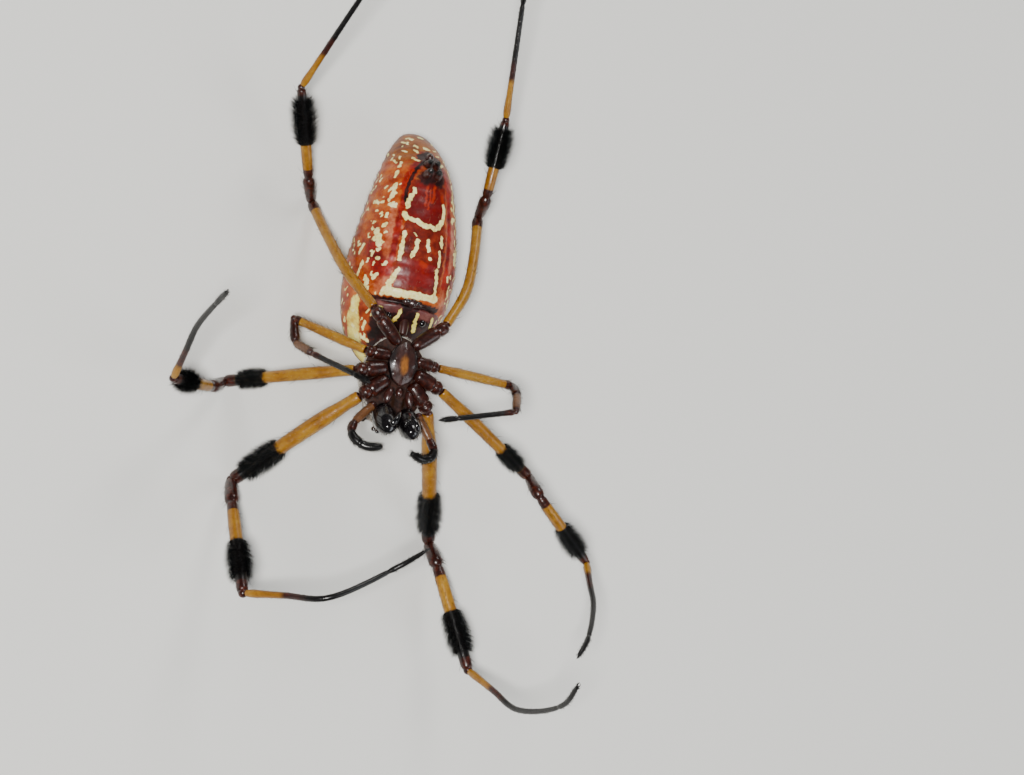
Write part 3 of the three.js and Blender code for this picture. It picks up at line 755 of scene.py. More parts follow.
# half width in millimetres, then the line's points
bellyCream = [
    (0.2, [(18.75, -21), (18.4, -21)]), (0.26, [(17.95, -24), (17.3, -27), (16.7, -27)]),
    (0.29, [(15.85, -29), (15.5, -26)]), (0.21, [(15.4, -21), (15.3, -16)]), (0.24, [(15.35, -14), (15.2, -11)]),
    (0.2, [(15.15, -9), (15.0, -5)]), (0.25, [(14.95, -4), (14.9, 0)]), (0.2, [(14.95, 1), (15.1, 4)]),
    (0.26, [(14.95, 6), (14.9, 9)]), (0.22, [(15.0, 11), (15.3, 15), (15.8, 19)]), (0.26, [(15.2, 14), (15.6, 17)]),
    (0.2, [(15.8, 19), (16.3, 22), (17.0, 23), (17.7, 22)]),
    (0.19, [(13.9, -25), (13.2, -25), (12.3, -25), (11.0, -25)]), (0.24, [(12.5, -25), (11.7, -25)]),
    (0.22, [(10.0, -24), (9.7, -25)]), (0.27, [(9.3, -27), (8.8, -29)]), (0.24, [(8.6, -32), (8.2, -30)]),
    (0.2, [(14.3, 20), (13.4, 21)]), (0.17, [(12.7, 19), (11.9, 20), (11.2, 20)]),
    (0.19, [(10.8, 18), (10.2, 20), (9.6, 21), (8.4, 23)]),
    (0.2, [(13.3, -9.5), (12.8, -9), (12.2, -10.5), (11.6, -13)]), (0.12, [(13.9, -13.5), (13.8, -12.5)]),
    (0.18, [(13.6, 2.5), (13.0, 3), (12.5, 4.5)]), (0.17, [(11.75, 7), (11.7, 8)]),
    (0.4, [(7.75, -34), (7.75, -26), (7.7, -18)]), (0.36, [(7.7, -18), (7.75, -6), (7.85, 4)]),
    (0.32, [(7.8, 4), (7.9, 14), (8.05, 26)]),
]
flankCream = [
    (0.3, [(13.9, -58), (13.3, -55), (12.4, -50)]), (0.3, [(13.2, -52), (13.0, -58)]),
    (0.19, [(17.1, -76), (17.0, -68)]),
    (0.17, [(21.6, -49), (21.1, -50)]), (0.17, [(20.4, -52), (19.9, -53)]),
    (0.24, [(19.0, -49), (18.2, -49), (17.6, -50)]),
    (0.2, [(16.75, -50), (16.65, -42)]), (0.18, [(15.7, -50), (15.4, -51)]), (0.21, [(14.6, -49), (14.3, -51)]),
    (0.13, [(24.9, -40), (24.8, -32)]), (0.13, [(22.25, -30), (22.0, -20)]), (0.1, [(25.3, -10), (25.25, 6)]),
    (0.1, [(25.0, 38), (24.85, 50)]), (0.1, [(24.3, -60), (24.2, -50)]), (0.1, [(23.9, -28), (23.8, -20)]),
    (0.1, [(23.8, -6), (23.75, 4)]), (0.11, [(23.1, -50), (22.95, -43)]), (0.1, [(23.3, -28), (23.15, -21)]),
    (0.17, [(10.6, -66), (9.9, -68), (9.0, -71)]), (0.22, [(8.6, -56), (8.1, -57)]), (0.16, [(8.4, -66), (8.0, -64)]),
    (0.2, [(12.4, -70), (11.6, -74)]), (0.2, [(9.3, -46), (8.9, -49)]), (0.17, [(10.6, -38), (10.3, -40)]),
]
paleYellow = [(0.62, [(6.6, -69), (5.6, -70)]), (0.95, [(5.2, -72), (4.0, -76), (2.4, -82)]),
              (0.2, [(6.15, -11), (5.5, -12), (4.7, -18)]),
              (0.22, [(5.6, -37), (6.15, -34)])]
mauveMarks = [(0.45, [(6.35, -44), (6.3, -30), (6.3, -14)])]
redStreaks = [(0.95, [(12.2, -57), (11.0, -50), (9.9, -43)]), (0.5, [(19.0, -36), (20.3, -30), (21.5, -21)]),
              (0.35, [(20.5, 30), (18.5, 33), (15, 34), (12, 33), (9.5, 34)])]
orangeMarks = [(0.28, [(18.55, 20), (18.1, 21)]), (0.17, [(19.4, 6), (18.4, 6), (17.6, 3)]),
               (0.15, [(19.3, -4), (18.2, -5), (17.2, -5)]), (0.12, [(18.9, 1), (17.9, 0), (16.8, -2)]),
               (0.3, [(11.1, -1), (10.9, 3)]), (0.3, [(20.6, -25), (19.4, -31), (18.4, -33)])]
darkMarks = [(0.3, [(7.0, -50), (6.95, -30), (6.9, -10), (6.9, 10), (7.1, 36)]),
             (0.19, [(17.3, -31), (18.6, -32), (20.0, -28), (21.4, -19), (22.2, -8)]),
             (0.85, [(20.1, -8), (20.6, 2), (20.2, 12)]), (0.75, [(21.8, -6), (22.3, 3), (21.9, 12)]),
             (0.5, [(22.5, -16), (23.0, 0), (22.5, 18)])]

# Layers of the abdomen's colour, painted in this order: mark, where its edge starts and ends, how
# ragged it is, its strength, the shares of broad and fine noise in it, and the ramp's stops
abdomenLayers = [
    ("rear", 0.35, 0.7, 1.0, 1.0, 0.4, 0.0,
     [(0.36, 84, 36, 2), (0.5, 134, 68, 2), (0.66, 164, 96, 4)]),
    ("pink", 0.3, 0.8, 1.8, 0.5, 0.0, 0.0,
     [(0.36, 150, 66, 34), (0.5, 190, 108, 76), (0.66, 214, 150, 122)]),
    ("red", 0.3, 0.7, 1.6, 1.0, 0.0, 0.0,
     [(0.34, 84, 5, 4), (0.52, 132, 16, 8), (0.7, 166, 44, 20)]),
    ("belly", 0.4, 0.62, 1.0, 1.0, 0.0, 0.0,
     [(0.34, 74, 12, 6), (0.52, 112, 26, 10), (0.7, 142, 50, 22)]),
    ("deep", 0.35, 0.65, 0.7, 1.0, 0.5, 0.0,
     [(0.36, 78, 3, 3), (0.52, 108, 6, 5), (0.7, 140, 18, 8)]),
    ("orange", 0.25, 0.85, 1.0, 0.7, 0.0, 0.0, None),
    ("dark", 0.35, 0.7, 1.3, 1.0, 0.0, 0.0,
     [(0.34, 14, 4, 4), (0.52, 36, 9, 9), (0.7, 74, 28, 26)]),
    ("mauve", 0.35, 0.65, 1.0, 1.0, 0.5, 0.0,
     [(0.34, 52, 16, 18), (0.5, 96, 48, 46), (0.66, 150, 100, 92)]),
    ("yellow", 0.4, 0.6, 0.8, 1.0, 0.0, 0.0,
     [(0.3, 206, 164, 54), (0.5, 240, 224, 112), (0.7, 250, 242, 160)]),
    ("cream", 0.4, 0.56, 0.45, 1.0, 0.0, 0.5,
     [(0.32, 206, 172, 86), (0.48, 242, 230, 148), (0.64, 252, 247, 196)]),
]
abdomenGround = {
    "rust": [(0.32, 88, 20, 4), (0.43, 136, 44, 8), (0.52, 164, 68, 16), (0.6, 182, 94, 32), (0.72, 196, 126, 58)],
    "back": [(0.34, 62, 24, 8), (0.5, 112, 58, 18), (0.68, 150, 92, 36)],
}


def lineField(y, arc, radius, lines, mirrored=False):
    # 1 along the middle of a line, 0.5 at its edge, 0 at twice its half width
    field = np.zeros_like(y)
    for half, points in lines:
        for (y0, turn0), (y1, turn1) in zip(points[:-1], points[1:]):
            for flip in ((1, -1) if mirrored else (1,)):
                a0, a1 = np.radians(turn0) * radius * flip, np.radians(turn1) * radius * flip
                dy, da = y1 - y0, a1 - a0
                t = np.clip(((y - y0) * dy + (arc - a0) * da) / (dy * dy + da * da + 1e-9), 0, 1)
                gap = np.hypot(y - y0 - t * dy, arc - a0 - t * da)
                field = np.maximum(field, 1 - gap / (2 * half))
    return np.clip(field, 0, 1)


def softNoise(points, scale, seed, octaves=3):
    # smooth noise at points in millimetres, about -1 to 1, from a few turned waves
    draw = np.random.default_rng(seed)
    total, size = np.zeros(len(points)), 0.0
    for octave in range(octaves):
        for _ in range(7):
            way = unit(draw.normal(size=3)) * 2 * np.pi / scale * 1.9 ** octave * draw.uniform(0.6, 1.3)
            total += np.sin(points @ way + draw.uniform(0, 2 * np.pi)) * 0.6 ** octave
        size += 0.6 ** octave * 7 ** 0.5
    return total / size


def abdomenSurface(plan, y, turn, lift=0.0):
    radius = smoothLine(plan["radii"], y) + lift
    axis = smoothLine(plan["axis"], y)
    return np.stack([np.sin(turn) * radius * plan["width"], y, axis + np.cos(turn) * radius], -1)


def abdomenShape(y, turn):
    # folds and swellings in millimetres, outwards
    degrees = np.degrees(turn)
    belly = np.exp(-(degrees / 38) ** 2)
    furrow = -0.34 * np.exp(-((y - 6.95) / 0.26) ** 2) * np.exp(-(degrees / 52) ** 4)
    behind = 0.14 * np.exp(-((y - 7.8) / 0.5) ** 2) * np.exp(-(degrees / 45) ** 4)
    lungs = 0.22 * np.exp(-((y - 5.6) / 1.0) ** 2) * np.exp(-((np.abs(degrees) - 33) / 16) ** 2)
    mound = 0.5 * np.exp(-((y - 21.0) / 1.35) ** 2) * np.exp(-(degrees / 26) ** 2)
    groove = -0.05 * np.exp(-((np.abs(degrees) - 31) / 3.5) ** 2) * window(y, 9.0, 19.0, 1.0)
    folds = 0.035 * np.sin(y * 5.2 + 0.8 * np.sin(turn * 3)) * window(y, 9, 24, 2) * (1 - belly * 0.6)
    dents = -0.09 * sum(np.exp(-((y - place) / 0.32) ** 2 - ((np.abs(degrees) - 158) / 5) ** 2)
                        for place in (7, 10.5, 14, 17.5))
    return furrow + behind + lungs + mound + groove + folds + dents


def makeAbdomen(plan):
    rings, sides = plan["rings"], plan["sides"]
    first, last = plan["axis"][0][0], plan["axis"][-1][0]
    share = (1 - np.cos(np.linspace(0.035, np.pi - 0.035, rings))) / 2
    share = 0.5 * share + 0.5 * np.linspace(share[0], share[-1], rings)
    y = np.repeat(first + (last - first) * share, sides)
    turn = np.tile(np.linspace(-np.pi, np.pi, sides, endpoint=False), rings)
    y = np.concatenate([y, [first, last]])
    turn = np.concatenate([turn, [0, 0]])
    radius = smoothLine(plan["radii"], y)
    edge = smoothStep(radius, 0.3, 2.0)
    flat = abdomenSurface(plan, y, turn)
    points = abdomenSurface(plan, y, turn, edge * (abdomenShape(y, turn) + 0.02 * softNoise(flat, 1.6, 3)))
    wave = softNoise(flat, 1.5, 5)
    fine = softNoise(flat, 0.55, 6)
    arc = turn * radius + 0.1 * fine
    along = y + 0.1 * softNoise(flat, 0.6, 8)
    degrees = np.degrees(turn)
    side = np.abs(degrees)
    draw = np.random.default_rng(11)
    spots = []
    while len(spots) < plan["flankSpots"]:
        spotY, spotTurn = draw.uniform(3, 24.5), draw.uniform(38, 150)
        tail = spotY > plan["tailStart"]
        if not tail and spotTurn > 42 or tail and draw.uniform() < 0.3:
            size = draw.uniform(0.06, 0.14) * (1.3 if spotTurn < 100 else 1.0)
            sign = draw.choice((-1, 1))
            reach = draw.uniform(0, 0.28)
            spots.append((size, [(spotY, sign * spotTurn), (spotY + reach, sign * (spotTurn + draw.uniform(-3, 3)))]))
    for k in range(plan["backSpots"] // 2):
        spotY = 4.6 + 18.5 * k / (plan["backSpots"] / 2)
        for turnOf in (140 + 3 * (k % 2), 164 - 4 * (k % 2)):
            spots += [(draw.uniform(0.2, 0.32), [(spotY, s * turnOf), (spotY + 0.35, s * turnOf)]) for s in (-1, 1)]
    creamSpots = lineField(along, arc, radius, spots)
    cream = np.maximum.reduce([lineField(along, arc, radius, bellyCream),
                               lineField(along, arc, radius, flankCream, True), creamSpots * 0.95,
                               window(y, 3.4, 4.6, 0.4) * smoothStep(side, 105, 125)])
    marks = {
        "cream": cream,
        "yellow": lineField(along, arc, radius, paleYellow, True),
        "mauve": lineField(along, arc, radius, mauveMarks, True),
        "belly": window(degrees + 3 * wave, -28, 26, 4) * window(y, 7.9, 19.8, 0.5),
        "pink": window(side + 4 * fine, 30, 47, 4) * window(y, 7.5, 16.5, 1.2),
        "deep": np.maximum(window(degrees + 3 * fine, -23, 18, 3) * window(along, 8.7, 11.2, 0.35),
                           smoothStep(1.25 - np.hypot((along - 17.2) / 2.5, (degrees + 4) / 25), 0.05, 0.4)),
        "red": lineField(along, arc, radius, redStreaks, True),
        "orange": lineField(along, arc, radius, orangeMarks),
        "dark": np.maximum(lineField(along, arc, radius, darkMarks),
                           0.85 * window(y, 1.0, 6.9, 0.35) * (1 - smoothStep(side + 7 * wave, 34, 62))),
        "rear": smoothStep(y + 0.6 * wave, 20.5, 23.0) * smoothStep(side, 14, 34) + smoothStep(y, 22.8, 23.8),
        "back": smoothStep(side, 80, 125),
    }
    book = NodeBook("abdomenSkin")
    broad = book.noise(310, 4, 0.6)
    blotch = book.noise(820, 4, 0.65)
    grain = book.noise(3200, 4)
    ragged = (blotch - 0.5) * 0.35 + (grain - 0.5) * 0.25
    rust = book.ramp(blotch * 0.6 + broad * 0.4, abdomenGround["rust"])
    backRust = book.ramp(blotch, abdomenGround["back"])
    colour = book.mix(book.mask("back").between(0.2, 0.8), rust, backRust)
    for name, low, high, rough, strength, broadShare, fineShare, stops in abdomenLayers:
        edge = (book.mask(name) + ragged * rough).between(low, high)
        pattern = broad * broadShare + grain * fineShare + blotch * (1 - broadShare - fineShare)
        layer = book.ramp(pattern, stops) if stops else plan["orangeTint"]
        colour = book.mix(edge * strength, colour, layer)
    creamMask = edge
    roughness = 0.36 + grain * 0.14 + creamMask * 0.06
    pits = book.cells(1900)
    height = grain * 0.35 + pits.between(0.05, 0.5) * 0.35 + creamMask * 0.5 + blotch * 0.4
    skin = book.finish(colour, roughness, book.bump(height, 0.55, 0.00007),
                       Coat_Weight=0.12, Coat_Roughness=0.24, Specular_IOR_Level=0.28)
    addPiece("abdomenSkin", aboveFloor(points, 0.0), ringFaces(rings, sides), skin, "abdomen", ("abdomen",), marks)

    # short hair, finer on the belly
    count = plan["hairs"]
    hairY, hairTurn = rng.uniform(1.8, 25.9, count), rng.uniform(-np.pi, np.pi, count)
    thickness = smoothLine(plan["radii"], hairY) / plan["widest"]
    offBelly = 0.12 + 0.88 * smoothStep(np.abs(hairTurn), 0.6, 1.5)
    keep = rng.uniform(0, 1, count) < thickness * offBelly * (1 - 0.6 * smoothStep(hairY, 20, 22))
    hairY, hairTurn = hairY[keep], hairTurn[keep]
    roots = abdomenSurface(plan, hairY, hairTurn, abdomenShape(hairY, hairTurn) - 0.02)
    outs = unit(roots - np.stack([0 * hairY, hairY, smoothLine(plan["axis"], hairY)], -1))
    alongs = unit(np.array([0, 1.0, 0]) - outs * outs[:, 1:2])
    size = rng.uniform(0.28, 0.6, len(hairY))
    tufts = hairMesh(roots, outs, alongs, size, rng.uniform(0.016, 0.026, len(size)), math.radians(28), 0.2, 2)
    hair = NodeBook("abdomenHair")
    pale = hair.mask("tone").between(0.0, 1.0)
    hairSkin = hair.finish(hair.mix(pale, *plan["hairTint"]), 0.42 + pale * 0.08)
    tone = rng.uniform(0.2, 1.0, len(hairY))
    addCoat("abdomenCoat", [(*tufts, (hairY - first) / (last - first), hairTurn / (2 * np.pi) + 0.5, tone)],
            hairSkin, "abdomen")


makeAbdomen(abdomenPlan)
print("abdomen ready")


# Small shell parts of the body
shellFinish = {
    "shine": 0.3,
    "brown": [(0.3, 30, 12, 10), (0.6, 58, 24, 18), (0.85, 92, 50, 36)],
    "black": [(0.3, 7, 6, 8), (0.8, 20, 16, 18)],
    "yellow": tint(150, 92, 28),
}


def makeShell(name, plan, base, shine, patch=None):
    book = NodeBook(name)
    grain = book.noise(2400, 4)
    broad = book.noise(700, 3)
    colour = book.ramp(grain * 0.5 + broad * 0.5, plan[base])
    colour = book.mix(book.mask("dark").between(0.3, 0.7), colour, book.ramp(grain, plan["black"]))
    if patch:
        colour = book.mix((book.mask("patch") + (broad - 0.5) * 0.9).between(0.1, 0.95), colour, plan[patch])
    pits = book.cells(3000)
    normal = book.bump(grain * 0.5 + pits.between(0.05, 0.4) * 0.4, 0.4, 0.00004)
    return book.finish(colour, shine + grain * 0.14, normal, Coat_Weight=0.5, Coat_Roughness=0.12)


brownShell = makeShell("brownShell", shellFinish, "brown", 0.26)
sternumShell = makeShell("sternumShell", shellFinish, "brown", 0.36, "yellow")
jetShell = makeShell("jetShell", shellFinish, "black", 0.1)


def makeUnderParts():
    belly = lambda y: float(sum(smoothLine(abdomenPlan[key], np.array([y]))[0] for key in ("axis", "radii")))
    # waist
    waist = Limb([(0, 3.9, -1.0), (0, 5.2, -1.05), (0, 6.3, -1.15)],
                 [[0, 0], [0.05, 0.42], [0.5, 0.5], [0.95, 0.44], [1, 0]], 40, 40)
    points, faces, marks = waist.mesh()
    marks["dark"] = np.full(len(points), 0.2)
    addPiece("waist", points, faces, brownShell, "dark_shell", ("pedicel",), marks)

    # plate in front of the furrow, with its two dark swellings
    def plateShape(p):
        ridge = 0.16 * np.exp(-((p[:, 0]) / 0.18) ** 2) + 0.08 * np.cos(p[:, 0] * 9)
        return p * (1 + ridge * (p[:, 2] > 0))[:, None]
    plate = ballMesh((0, 7.1, belly(7.1) - 0.08), (1.15, 0.45, 0.34), 64, 40, 6, 0, plateShape)
    left = ballMesh((-0.55, 7.15, belly(7.1) + 0.06), (0.26, 0.22, 0.2))
    right = ballMesh((0.55, 7.15, belly(7.1) + 0.06), (0.26, 0.22, 0.2))
    for part in (plate, left, right):
        part[2]["dark"][:] = 1
    plate[2]["dark"][:] = 0.45
    for word, side in bothSides:
        turn = math.radians(23 * side)
        place = abdomenSurface(abdomenPlan, np.array([5.6]), np.array([turn]))[0]
        knob = ballMesh(place + (0, 0, 0.02), (0.36, 0.4, 0.36))
        knob[2]["dark"][:] = 1
        addPiece(f"lungKnob{word}", *knob[:2], jetShell, "dark_shell", (), knob[2])
    points, faces, marks = joinParts(plate, left, right)
    addPiece("epigynumPlate", points, faces, brownShell, "dark_shell", ("epigynum",), marks)

    # spinnerets: two joints each, with a brush of spigots at the end
    tufts = []
    for word, side in bothSides:
        for name, x, y, radius, endTurn in (("Anterior", 0.57, 20.2, 0.41, 0.1),
                                            ("Posterior", 0.5, 21.4, 0.35, -0.12)):
            root = np.array([side * x, y, belly(y) - 0.35])
            way = np.array([0, 0.35, 0.8])
            limb = Limb([root, root + way * 0.9, root + way * 1.85 + (-side * 0.12, endTurn, 0)],
                        [[0, 0], [0.03, 0.9 * radius], [0.3, 1.05 * radius], [0.58, 0.95 * radius],
                         [0.64, 0.8 * radius], [0.7, 0.84 * radius], [0.9, 0.6 * radius], [0.97, 0.4 * radius],
                         [1, 0]], 60, 36)
            points, faces, marks = limb.mesh()
            marks["dark"] = smoothStep(marks["share"], 0.6, 0.9) * 0.8
            addPiece(f"spinneret{name}{word}", points, faces, brownShell, "dark_shell",
                     (f"spinneret_{name.lower()}_{word.lower()}",), marks)
            tufts.append(scatterHairs(limb, 0.3, 0.97, 150, 0.28, 0.024, 40, 0.75, 0 if side < 0 else 1, 4))
    points, faces, marks = ballMesh((0, 22.55, belly(22.5) + 0.1), (0.42, 0.5, 0.58), 48, 32, -35)
    marks["dark"][:] = 0.3
    addPiece("analTubercle", points, faces, brownShell, "dark_shell", ("anal_tubercle",), marks)
    addCoat("spinneretCoat", tufts, legHair, "dark_shell")


def plateOutline(t):
    # sternum's edge at angles t, heart shaped, pointed to the rear
    width = 1.5 * np.sin(t) * (1 + 0.1 * np.cos(t))
    length = np.where(np.cos(t) > 0, 2.25, 2.1) * np.cos(t)
    scallop = 1 + 0.02 * np.cos(8 * t)
    return width * scallop * (1 - 0.25 * smoothStep(np.cos(t), 0.2, 1.0)), 0.72 + length * scallop


def makeSternum():
    rings, sides = 40, 120
    t = np.linspace(0, 2 * np.pi, sides, endpoint=False)
    shares = np.concatenate([np.linspace(0.02, 1, rings), [1.02, 1.0, 0.9]])
    heights = np.concatenate([0.62 + 0.4 * (1 - np.linspace(0.02, 1, rings) ** 2.4), [0.5, 0.1, 0.02]])
    edgeX, edgeY = plateOutline(t)
    points = np.stack([np.outer(shares, edgeX), 0.72 + np.outer(shares, edgeY - 0.72),
                       np.repeat(heights[:, None], sides, 1)], -1).reshape(-1, 3)
    humps = sum(np.exp(-((points[:, 0] - x) ** 2 + (points[:, 1] - y) ** 2) / 0.07)
                for x, y in ((-1.05, -0.5), (1.05, -0.5), (-1.1, 0.9), (1.1, 0.9), (0, 2.2)))
    points[:, 2] += 0.1 * humps
    points = np.vstack([points, [[0, 0.72, heights[0]], [0, 0.72, 0.0]]])
    distance = np.hypot(points[:, 0] / 0.8, (points[:, 1] - 0.6) / 1.9)
    marks = {"dark": smoothStep(distance, 0.8, 1.6) * 0.6, "patch": 0.75 * (1 - smoothStep(distance, 0.15, 0.95))}
    addPiece("sternumPlate", points, ringFaces(len(shares), sides), sternumShell, "dark_shell", ("sternum",), marks)
    count = 260
    share, angle = np.sqrt(rng.uniform(0.02, 0.95, count)), rng.uniform(0, 2 * np.pi, count)
    x, y = plateOutline(angle)
    roots = np.stack([share * x, 0.72 + share * (y - 0.72), 0.6 + 0.4 * (1 - share ** 2.4)], -1)
    outs = unit(np.stack([0.4 * x * share, 0.2 * (y - 0.72) * share, np.ones(count)], -1))
    alongs = unit(np.array([0, 1.0, 0.0]) - outs * outs[:, 1:2])
    size = rng.uniform(0.3, 0.6, count)
    hairs = hairMesh(roots, outs, alongs, size, np.full(count, 0.026), math.radians(40), 0.2, 3)
    return (*hairs, share * 0.9, 0.05 + 0.9 * angle / (2 * np.pi), np.full(count, 0.5))


def makeMouth():
    coat = [makeSternum()]
    points, faces, marks = ballMesh((0, -2.2, 0.62), (0.36, 0.5, 0.36), 48, 32)
    addPiece("lowerLip", points, faces, brownShell, "dark_shell", ("labium",), marks)
    for word, side in bothSides:
        def lobe(p, side=side):
            inner = np.clip(-p[:, 0] * side, 0, 1)
            return p * (1 - 0.25 * inner)[:, None] + np.stack([0 * inner, 0.12 * inner, 0.0 * inner], -1)
        points, faces, marks = ballMesh((side * 1.08, -2.75, 0.7), (0.5, 0.86, 0.46), 56, 40, 0, side * 12, lobe)
        addPiece(f"maxilla{word}", points, faces, brownShell, "dark_shell", (f"maxilla_{word.lower()}",), marks)
        count = 260
        spin = rng.uniform(-1.0, 1.0, count)
        roots = np.stack([side * (0.68 - 0.05 * np.abs(spin)), -3.1 + 0.45 * spin,
                          0.75 + 0.2 * rng.normal(0, 0.5, count)], -1)
        outs = unit(np.stack([-side * np.ones(count), 0.1 * rng.normal(0, 1, count), 0.5 * np.ones(count)], -1))
        alongs = np.broadcast_to(unit([0, -1.0, 0.3]), (count, 3))
        size = rng.uniform(0.3, 0.55, count)
        fringe = hairMesh(roots, outs, alongs, size, np.full(count, 0.026), math.radians(50), 0.3, 3)
        coat.append((*fringe, 0.5 + 0.4 * spin, np.full(count, 0.5), np.full(count, 0.5)))
    return coat


def makeJaws(coat):
    for word, side in bothSides:
        path = [(side * 1.15, -4.0, 0.0), (side * 1.35, -5.3, 1.2), (side * 1.25, -6.6, 2.9)]
        jaw = Limb(path, [[0, 0], [0.02, 0.7], [0.1, 0.95], [0.3, 1.16], [0.6, 1.1], [0.82, 0.88], [0.94, 0.58],
                          [0.985, 0.34], [1, 0]], 90, 56)
        points, faces, marks = jaw.mesh()
        marks["dark"] = np.ones(len(points))
        # teeth along the groove where the fang folds in
        teeth = []
        for k in range(4):
            root = np.array([side * (0.62 + 0.05 * k), -5.75 + 0.12 * k, 2.45 + 0.22 * k])
            tooth = Limb([root, root + (-side * 0.2, 0.22, 0.1), root + (-side * 0.3, 0.42, 0.12)],
                         [[0, 0], [0.1, 0.13], [0.6, 0.08], [1, 0.01]], 12, 12)
            part = tooth.mesh()
            part[2]["dark"] = np.ones(len(part[0]))
            teeth.append(part)
        points, faces, marks = joinParts((points, faces, marks), *teeth)
        addPiece(f"chelicera{word}", points, faces, jetShell, "jaw", (f"chelicera_{word.lower()}",), marks)
        coat.append(scatterHairs(jaw, 0.1, 0.97, 420, 0.5, 0.028, 35, 0.85, 1 if side < 0 else 2, 4))
        bends = ((1.5, -6.15, 3.5), (1.15, -5.6, 3.75), (0.7, -4.85, 3.4), (0.42, -4.4, 2.85))
        hook = Limb([(side * x, y, z) for x, y, z in bends],
                    [[0, 0], [0.04, 0.26], [0.12, 0.3], [0.35, 0.26], [0.7, 0.17], [0.92, 0.08], [1, 0.008]], 70, 28)
        points, faces, marks = hook.mesh()
        marks["dark"] = 1 - 0.9 * smoothStep(marks["share"], 0.5, 1.0)
        addPiece(f"fang{word}", points, faces, fangShell, "jaw", (f"fang_{word.lower()}",), marks)


fangShell = makeShell("fangShell", {**shellFinish, "brown": [(0.3, 40, 8, 6), (0.7, 84, 20, 12)]}, "brown", 0.08)


def makePalps(coat):
    for word, side in bothSides:
        path = [(2.3, -3.8, 0.4), (4.1, -6.1, 0.5), (4.5, -7.1, 1.0), (4.25, -7.9, 1.5), (3.1, -8.5, 2.0),
                (1.5, -8.25, 2.5)]
        palp = Limb([(side * x, y, z) for x, y, z in path],
                    [[0, 0], [0.01, 0.34], [0.05, 0.43], [0.12, 0.4], [0.15, 0.44], [0.3, 0.43],
                     [0.36, 0.36], [0.39, 0.44], [0.48, 0.45], [0.52, 0.36], [0.55, 0.42], [0.68, 0.44],
                     [0.715, 0.37], [0.74, 0.43], [0.88, 0.41], [0.98, 0.22], [1, 0]], 140, 32)
        points, faces, marks = palp.mesh()
        share = marks["share"]
        marks["dark"] = np.maximum(smoothStep(share, 0.33, 0.38), 1 - smoothStep(share, 0.02, 0.08))
        marks["black"] = smoothStep(share, 0.48, 0.56)
        addPiece(f"palp{word}", points, faces, shortLegSkin, "tibia", (f"palp_{word.lower()}",), marks)
        coat.append(scatterHairs(palp, 0.05, 0.5, 260, 0.4, 0.026, 35, 0.45, 3))
        coat.append(scatterHairs(palp, 0.5, 0.99, 620, 0.5, 0.03, 38, 0.95, 3))


headCoat = makeMouth()
makeJaws(headCoat)
makePalps(headCoat)
addCoat("headCoat", headCoat, legHair, "dark_shell")
makeUnderParts()
print("mouth, jaws and spinnerets ready")


# Carapace, with eyes on its front and two small horns on the thorax
carapacePlan = {
    "halfWidth": 3.6, "halfLength": 4.75, "depth": 3.5, "middleY": -1.0, "rimZ": -1.15, "bellySide": 0.15,
    "horns": [(-0.8, -0.6), (0.8, -0.6)],
    "eyes": {"Anterior Median": (0.45, -5.95, -2.35), "Posterior Median": (0.5, -5.62, -3.35),
             "Anterior Lateral": (2.25, -5.15, -2.2), "Posterior Lateral": (2.3, -4.75, -2.95)},
    "eyeRadius": 0.25,
    "hairs": 9000,
}


def carapaceBase(plan, unitPoints):
    x, y, z = unitPoints.T
    head, rear = smoothStep(-y, 0, 0.75), smoothStep(y, -0.1, 0.95)
    deep = plan["depth"] * (1 + (0.42 - 1) * rear)
    places = np.stack([x * plan["halfWidth"] * (1 - 0.18 * head), plan["middleY"] + y * plan["halfLength"],
                       plan["rimZ"] + z * np.where(z < 0, deep, plan["bellySide"])], -1)
    back = smoothStep(-z, 0.05, 0.35)
    px, py = places[:, 0], places[:, 1]
    groove = -0.28 * np.exp(-((np.abs(px) - 1.35 - 0.35 * (py + 2.2)) / 0.35) ** 2) * window(py, -3.4, -0.6, 0.4)
    pit = -0.3 * np.exp(-(px / 0.5) ** 2 - ((py - 0.4) / 0.35) ** 2)
    rays = -0.07 * np.cos(9 * np.arctan2(px, py - 0.3)) * np.exp(-((np.hypot(px, py - 0.3) - 1.9) / 0.9) ** 2)
    horns = sum(0.95 * np.exp(-(np.hypot(px - hx, py - hy) / 0.3) ** 2) for hx, hy in plan["horns"])
    places[:, 2] -= back * (groove + pit + rays + horns)
    return places


def swell(points, seat):
    # pushes the skin out along one way, most on the line through the seat's middle
    middle, way, push, width = seat
    gap = points - middle
    depth = gap @ way
    distance = np.linalg.norm(gap - depth[:, None] * way, axis=1)
    return points + way * (push * np.exp(-(distance / width) ** 2) * (depth > -2.6))[:, None]


def carapacePoints(plan, unitPoints):
    points = carapaceBase(plan, unitPoints)
    for seat in plan["seats"]:
        points = swell(points, seat)
    return points


def ballPoints(rows, columns):
    lat = np.linspace(0, np.pi, rows + 2)[1:-1]
    lon = np.linspace(0, 2 * np.pi, columns, endpoint=False)
    a, b = (m.ravel() for m in np.meshgrid(lat, lon, indexing="ij"))
    ball = np.stack([np.sin(a) * np.cos(b), np.sin(a) * np.sin(b), np.cos(a)], -1)
    return np.vstack([ball, [[0, 0, 1], [0, 0, -1]]])


def eyeMiddles(plan):
    for name, (x, y, z) in plan["eyes"].items():
        for word, side in bothSides:
            yield name, word, np.array([side * x, y, z])


